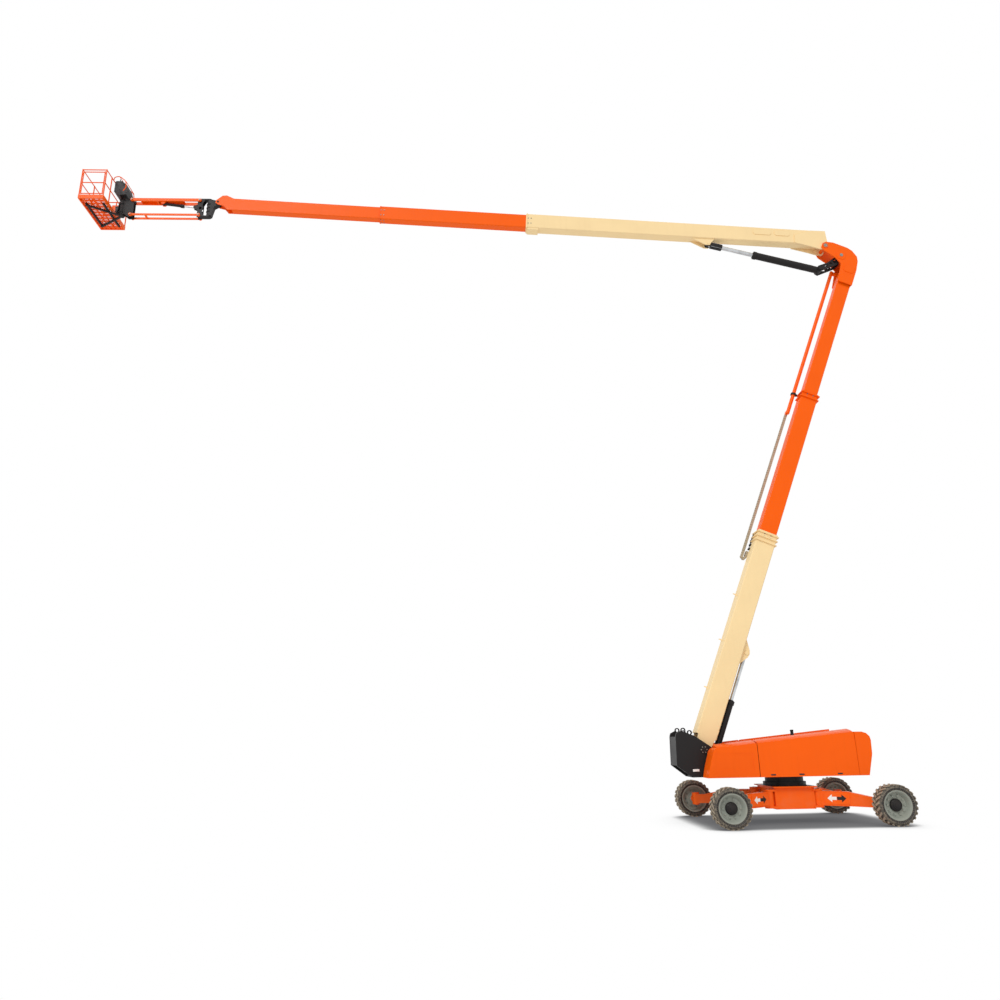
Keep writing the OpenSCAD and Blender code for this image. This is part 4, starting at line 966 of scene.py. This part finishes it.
def pad_bolts(name, body, place, at, halves, boom, step=0.11):
    """Bolts that hold the wear pads: four on each side wall and on the top and bottom plates."""
    places = []
    half_w, half_h = halves
    turn = place.to_3x3()
    for dx in (-step / 2, step / 2):
        for d in (-step, step):
            for sign in (-1, 1):
                places.append((place @ Vector((at + dx, sign * half_w, d)), turn @ Vector((0, sign, 0))))
                places.append((place @ Vector((at + dx, d * 0.7, sign * half_h)), turn @ Vector((0, 0, sign))))
    heads(name + "_pad_bolts", places, body, boom.bolt_size, boom.bolt_height)


class LIFT_OT_tower(bpy.types.Operator):
    """Add pad bolts, the conduit's guide, rollers and the cable carrier to the tower"""
    bl_idname = "lift.tower"
    bl_label = "Tower"

    mouth = 7.590
    mid_mouth = 13.230
    half_w, half_h = 0.260, 0.330
    mid_half_w, mid_half_h = 0.222, 0.292

    def execute(self, context):
        boom = context.scene.lift.boom
        pad_bolts("tower", "tower_base", TOWER, self.mouth - 0.145, (self.half_w, self.half_h), boom)
        pad_bolts("tower_mid", "tower_mid", TOWER, self.mid_mouth - 0.15, (self.mid_half_w, self.mid_half_h), boom)
        self.guide()
        self.rollers()
        self.carrier(boom)
        cylinder_dress("tower", pin("tower_barrel_tilt"), heading("tower_rod_extend"), 2.30, 0.102, 0.058, boom)
        return {"FINISHED"}

    def guide(self):
        """Black clamp on the middle section's collar that the conduit slides through."""
        low, high = section_of("tower_conduit", TOWER)
        y, z = low.y + 0.065, high.z - 0.065
        clamp = Shape(TOWER)
        at = self.mid_mouth - 0.062
        clamp.band(0.072, 0.098, 0.035, (at, y, z), (1, 0, 0), 32)
        clamp.block((at - 0.03, y - 0.045, self.mid_half_h + 0.050), (at + 0.03, y + 0.045, z - 0.092), 0.004)
        clamp.piece("conduit_guide", "black", "tower_mid")
        clips = Shape(TOWER)
        for x in (self.mouth - 0.66, self.mouth - 0.50, self.mouth - 0.34):
            clips.block((x - 0.03, y - 0.07, self.half_h + 0.0005),
                        (x + 0.03, y + 0.07, self.half_h + 0.05), 0.008)
        clips.pipe(rounded([(self.mouth - 0.70, y, self.half_h + 0.03), (self.mouth - 0.2, y, self.half_h + 0.03),
                            (self.mouth - 0.12, y - 0.06, self.half_h + 0.03)], 0.05), 0.016, 12)
        clips.piece("carrier_clips", "black", "tower_base")

    def rollers(self):
        """Guide rollers on the base section, beside the path of the retracting conduit."""
        guides = Shape(TOWER)
        for x in (1.925, 3.569, 5.201):
            foot, tip = self.half_h - 0.002, self.half_h + 0.12
            guides.prism([(x - 0.025, foot), (x + 0.025, foot), (x + 0.012, tip), (x - 0.012, tip)], 0.085, 0.097)
            guides.turned([(0, 0), (0.017, 0), (0.017, 0.008), (0.012, 0.014), (0.012, 0.040), (0, 0.040)],
                          (x, 0.097, self.half_h + 0.10), (0, 1, 0), 24)
        guides.piece("tower_rollers", "cream", "tower_base")

    def carrier(self, boom):
        low, high = section_of("cable_chain", TOWER)
        y, top = high.y - 0.055, high.z - 0.04
        turn_x, turn_z, bend = low.x + 0.10, top - 0.06, 0.06
        path = [Vector((high.x - 0.02, y, top)), Vector((turn_x, y, top))]
        path += arc((turn_x, y, turn_z), bend, 90, 270, 12, (1, 0, 0), (0, 0, 1))[1:]
        path += [Vector((turn_x + 0.19, y, top - 0.12))]
        links = TREES["links"].grow(
            "cable_carrier", lines_mesh("carrier_path", [[TOWER @ p for p in path]]), "carrier", "tower_base",
            {"Pitch": boom.link_pitch, "Width": 0.11, "Depth": 0.08})
        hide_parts("cable_chain")
        shelf = Shape(TOWER)
        fixed = path[-1]
        shelf.block((fixed.x - 0.12, self.half_w + 0.0005, fixed.z - 0.20),
                    (fixed.x + 0.03, high.y, fixed.z - 0.041), 0.004)
        shelf.piece("carrier_shelf", "cream", "tower_base")
        tuple(TOWER @ path[-1])
        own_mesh(links)


def cylinder_dress(name, foot, along, barrel, radius, rod, boom):
    """Gland nut with a ring of screws at a barrel's mouth, bands and a pipe along the barrel.

    The tower's pipe lies at the side, clear of the tower and of the turntable.
    """
    body = name + "_barrel"
    head = foot + along * barrel
    gland = Shape()
    gland.turned([(rod + 0.002, 0.0), (radius * 0.86, 0.0), (radius * 0.86, 0.018), (radius * 0.74, 0.026),
                  (rod + 0.014, 0.030), (rod + 0.002, 0.030), (rod + 0.002, 0.0)], head, along, 40)
    side = along.cross(ACROSS).normalized()
    if side.z < 0:
        side = -side
    if name == "tower":
        side = ACROSS
    away = radius + boom.hose_radius + 0.004
    start, stop = foot + along * 0.20, head - along * 0.06
    gland.pipe(rounded([start + side * (radius - 0.01), start + side * away + along * 0.02,
                        stop + side * away - along * 0.02, stop + side * (radius - 0.005)], 0.03),
               boom.hose_radius, 12)
    for k in (0.25, 0.5, 0.75):
        gland.band(radius - 0.001, radius + 0.002, 0.02, foot + along * barrel * k, along)
    gland.piece(name + "_gland", "black", body)
    heads(name + "_gland_screws", ring_of(head + along * 0.018, along, radius * 0.72, 10), body,
          radius * 0.085, 0.010)


class LIFT_OT_main_boom(bpy.types.Operator):
    """Add pad bolts, covers, the rod's clevis and the knuckle's fittings to the main boom"""
    bl_idname = "lift.main_boom"
    bl_label = "Main boom"

    mouth, mid_mouth = -11.540, -17.160
    drop = 0.410
    half_w, half_h = 0.185, 0.310
    mid_half_w, mid_half_h = 0.160, 0.285

    def execute(self, context):
        boom = context.scene.lift.boom
        centre = MAIN @ Matrix.Translation((0, 0, self.drop))
        pad_bolts("main", "main_base", centre, self.mouth + 0.14, (self.half_w, self.half_h), boom)
        pad_bolts("main_mid", "main_mid", centre, self.mid_mouth + 0.12, (self.mid_half_w, self.mid_half_h), boom)
        self.covers()
        self.knuckle()
        self.clevis()
        cylinder_dress("main", pin("main_rod_tilt") + heading("main_barrel_extend") * self.cylinder_length(),
                       -heading("main_barrel_extend"), 2.56, 0.128, 0.076, boom)
        return {"FINISHED"}

    def cylinder_length(self):
        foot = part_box("main_lift_barrel")[1].x - 0.110
        return (foot - pin("main_rod_tilt").x) / abs(heading("main_barrel_extend").x)

    def clevis(self):
        """Black clevis over the end of the lift cylinder's rod."""
        clevis = Shape(side_frame(pin("main_rod_tilt"), heading("main_barrel_extend")))
        clevis.block((0.12, -0.091, -0.091), (0.575, 0.091, 0.091), 0.016)
        clevis.band(0.0375, 0.0768, 0.0958, (0, 0, 0), ACROSS)
        clevis.block((0.02, -0.08, -0.074), (0.13, 0.08, 0.074), 0.006)
        clevis.piece("rod_clevis", "black", "main_rod")

    def covers(self):
        """Embossed plates on the base section's sides near its root."""
        plates = Shape(MAIN)
        for side in (-1, 1):
            low, high = sorted((side * (self.half_w - 0.002), side * (self.half_w + 0.018)))
            for x0, x1 in ((-2.75, -2.05), (-1.92, -1.32)):
                plates.prism(chamfered(x0, x1, self.drop - 0.02, self.drop + 0.20, 0.06), low, high)
        plates.piece("root_covers", "cream", "main_base")

    def knuckle(self):
        """Pin caps with their keeper bolts on the knuckle's cheeks."""
        caps = Shape()
        places = []
        point, radius = pin("main_lift"), 0.105
        for side in (-1, 1):
            face = Vector((point.x, side * 0.298, point.z))
            caps.turned([(0, 0.012), (radius * 0.55, 0.012), (radius * 0.6, 0.006), (radius * 0.6, -0.01),
                         (0, -0.01)], face, (0, side, 0), 36)
            places += ring_of(face, (0, side, 0), radius * 0.8, 8)
        caps.piece("knuckle_pin_caps", "zinc", "tower_fly")
        heads("knuckle_pin_bolts", places, "tower_fly", 0.012, 0.012)
        self.cheeks()

    def cheeks(self):
        """Doubling plates on the knuckle's cheeks, with the head pin's disc."""
        plates, discs = Shape(TOWER), Shape(TOWER)
        end = (TOWER.inverted() @ pin("main_lift")).x - 0.836
        for side in (-1, 1):
            low, high = sorted((side * 0.279, side * 0.292))
            x, z = end + 0.657, 0.434
            for bounds in ((x - 0.17, x + 0.17, z - 0.17, z + 0.17), (end + 0.02, end + 0.36, -0.20, 0.20)):
                plates.prism(chamfered(*bounds, 0.07), low, high)
            discs.turned([(0, 0.020), (0.060, 0.020), (0.066, 0.014), (0.066, 0.0), (0, 0.0)],
                         (x, side * 0.290, z), (0, side, 0), 36)
        plates.piece("knuckle_plates", "orange", "tower_fly")
        discs.piece("knuckle_discs", "zinc", "tower_fly")


class LIFT_OT_jib(bpy.types.Operator):
    """Add pin bolts and drive rings to the jib"""
    bl_idname = "lift.jib"
    bl_label = "Jib"

    pin_end = 0.167

    def execute(self, context):
        rear, front = pin("jib_lift"), pin("jib_front_level")
        low_rear = pin("jib_lower_tilt")
        places = {"rotator": [], "jib_front": []}
        for point, body in ((rear, "rotator"), (low_rear, "rotator"), (front, "jib_front"),
                            (Vector((front.x, 0, low_rear.z)), "jib_front")):
            for side in (-1, 1):
                places[body].append((Vector((point.x, side * self.pin_end, point.z)), Vector((0, side, 0))))
        for body, spots in places.items():
            heads("jib_pin_bolts_" + body, spots, body, 0.024, 0.016)
        self.actuator()
        return {"FINISHED"}

    def actuator(self):
        """Rings round the rotary drives of the jib and the platform."""
        swing, rear, low_rear = pin("jib_swing"), pin("jib_lift"), pin("jib_lower_tilt")
        top, bottom = rear.z + 0.05, low_rear.z
        drive = Shape()
        centre = Vector((swing.x, 0, (top + bottom) / 2))
        for shift in (-0.16, 0.0, 0.16):
            drive.band(0.094, 0.112, 0.012, centre + UP * shift, UP)
        drive.piece("jib_drive_rings", "black", "leveller")
        platform = pin("platform_rotate")
        collar = Shape()
        for z in (low_rear.z + 0.14, rear.z - 0.16):
            collar.band(0.106, 0.124, 0.02, Vector((platform.x, 0, z)), UP)
        collar.piece("platform_drive_rings", "black", "jib_front")


class LIFT_OT_platform(bpy.types.Operator):
    """Add the floor mesh, controls, guard hoop, hoses and document box to the platform"""
    bl_idname = "lift.platform"
    bl_label = "Platform"

    def execute(self, context):
        settings = context.scene.lift.platform
        low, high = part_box("platform_floor")
        self.floor_mesh(settings, low, high)
        self.controls(high)
        self.hoses()
        self.papers(low, high)
        return {"FINISHED"}

    def floor_mesh(self, settings, low, high):
        z = low.z + 0.0535
        edge = 0.03
        lines = []
        for number, (a, b) in enumerate(((low.x, high.x), (low.y, high.y))):
            steps = int((b - a - 2 * edge) / settings.mesh_pitch)
            for k in range(1, steps):
                t = a + edge + (b - a - 2 * edge) * k / steps
                if number == 0:
                    lines.append([(t, low.y + edge, z), (t, high.y - edge, z)])
                else:
                    lines.append([(low.x + edge, t, z), (high.x - edge, t, z)])
        TREES["bars"].grow("floor_mesh", lines_mesh("floor_mesh_lines", lines), "orange", "platform",
                           {"Radius": settings.mesh_bar})

    def controls(self, high):
        """Flat panel with two levers and a stop button, under a guard hoop."""
        box_low, box_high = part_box("control_console")
        panel = Shape()
        top = box_high.z
        panel.block((box_low.x + 0.02, -0.25, top - 0.03), (box_low.x + 0.26, 0.25, top + 0.012), 0.006)
        for y in (-0.16, 0.02):
            spot = Vector((box_low.x + 0.13, y, top + 0.01))
            panel.turned([(0, 0.0), (0.045, 0.0), (0.040, 0.014), (0.022, 0.026), (0.009, 0.034), (0.008, 0.085),
                          (0.018, 0.095), (0.020, 0.120), (0.012, 0.135), (0, 0.137)], spot, UP, 20)
        panel.piece("control_panel", "plastic", "platform")
        stop = Shape()
        stop.turned([(0, 0.0), (0.016, 0.0), (0.016, 0.018), (0.028, 0.020), (0.028, 0.032), (0.020, 0.040),
                     (0, 0.042)], Vector((box_low.x + 0.10, 0.18, top + 0.012)), UP, 24)
        stop.piece("stop_button", "lamp", "platform")
        hoop = Shape()
        x0 = high.x - 0.021
        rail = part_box("platform_rails")[1].z - 0.02
        for y in (-0.36, 0.36):
            course = [(0, -0.01), (0.02, 0.15), (0.20, 0.19), (0.46, -0.02), (0.50, -0.30), (0.40, -0.46)]
            hoop.pipe(rounded([(x0 + x, y, rail + z) for x, z in course], 0.12), 0.016, 14)
        for x, z in ((0.20, 0.184), (0.47, -0.05)):
            hoop.pipe([(x0 + x, -0.36, rail + z), (x0 + x, 0.36, rail + z)], 0.013, 12)
        hoop.piece("console_guard", "orange", "platform")

    def hoses(self):
        """Hose bundle from the console down to the platform's rotator."""
        box_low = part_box("control_console")[0]
        turn = pin("platform_rotate")
        bundle = Shape()
        for k in range(6):
            y = -0.10 + 0.04 * k
            x = box_low.x + 0.20 + 0.018 * (k % 3)
            drop = box_low.z + 0.03
            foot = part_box("platform_floor")[0].z + 0.06
            course = [(x, y, drop), (x + 0.01, y * 0.9, drop - 0.16), (turn.x - 0.13, y * 0.8, drop - 0.34),
                      (turn.x - 0.135, y * 0.7, foot + 0.20), (turn.x - 0.20, y * 0.6, foot - 0.06)]
            bundle.pipe(rounded(course, 0.16, 8), 0.013, 10)
        bundle.piece("console_hoses", "hose", "platform")

    def papers(self, low, high):
        """Document box and its back plate on the far rails, and the foot switch on the floor."""
        y = high.y - 0.05
        x = low.x + 0.62
        box = Shape()
        box.block((x - 0.12, y - 0.10, low.z + 0.72), (x + 0.12, y - 0.008, low.z + 0.98), 0.012)
        box.block((x - 0.125, y - 0.108, low.z + 0.93), (x + 0.125, y - 0.004, low.z + 0.985), 0.008)
        box.block((high.x - 0.40, -0.20, low.z + 0.057), (high.x - 0.16, -0.02, low.z + 0.095), 0.010)
        box.block((high.x - 0.38, -0.18, low.z + 0.09), (high.x - 0.22, -0.04, low.z + 0.125), 0.014)
        box.piece("document_box", "plastic", "platform")
        plate = Shape()
        plate.block((x - 0.30, y - 0.006, low.z + 0.55), (x + 0.22, y, low.z + 1.10), 0.002)
        plate.piece("rail_plate", "orange", "platform")


class LIFT_PT_panel(bpy.types.Panel):
    """Buttons and settings of the boom lift's looks"""
    bl_label = "Boom Lift"
    bl_idname = "LIFT_PT_panel"
    bl_space_type = "VIEW_3D"
    bl_region_type = "UI"
    bl_category = "Boom Lift"

    def draw(self, context):
        settings = context.scene.lift
        for name in ORDER:
            self.layout.operator("lift." + name)
        for group in ("paint", "wheel", "boom", "platform", "stage"):
            box = self.layout.box()
            part = getattr(settings, group)
            for key in part.bl_rna.properties.keys():
                if key not in ("rna_type", "name"):
                    box.prop(part, key)


ORDER = ("stage", "paint", "wheels", "turntable", "chassis", "tower", "main_boom", "jib", "platform")
CLASSES = (
    PaintSettings, WheelSettings, BoomSettings, PlatformSettings, StageSettings, LiftSettings,
    LIFT_OT_stage, LIFT_OT_paint, LIFT_OT_wheels, LIFT_OT_turntable, LIFT_OT_chassis, LIFT_OT_tower,
    LIFT_OT_main_boom, LIFT_OT_jib, LIFT_OT_platform,
    LIFT_PT_panel,
)


def register():
    for cls in CLASSES:
        bpy.utils.register_class(cls)
    bpy.types.Scene.lift = PointerProperty(type=LiftSettings)


def unregister():
    del bpy.types.Scene.lift
    for cls in reversed(CLASSES):
        bpy.utils.unregister_class(cls)


def main():
    """Dress the frame."""
    register()
    for name in ORDER:
        getattr(bpy.ops.lift, name)()


if __name__ == "__main__":
    main()
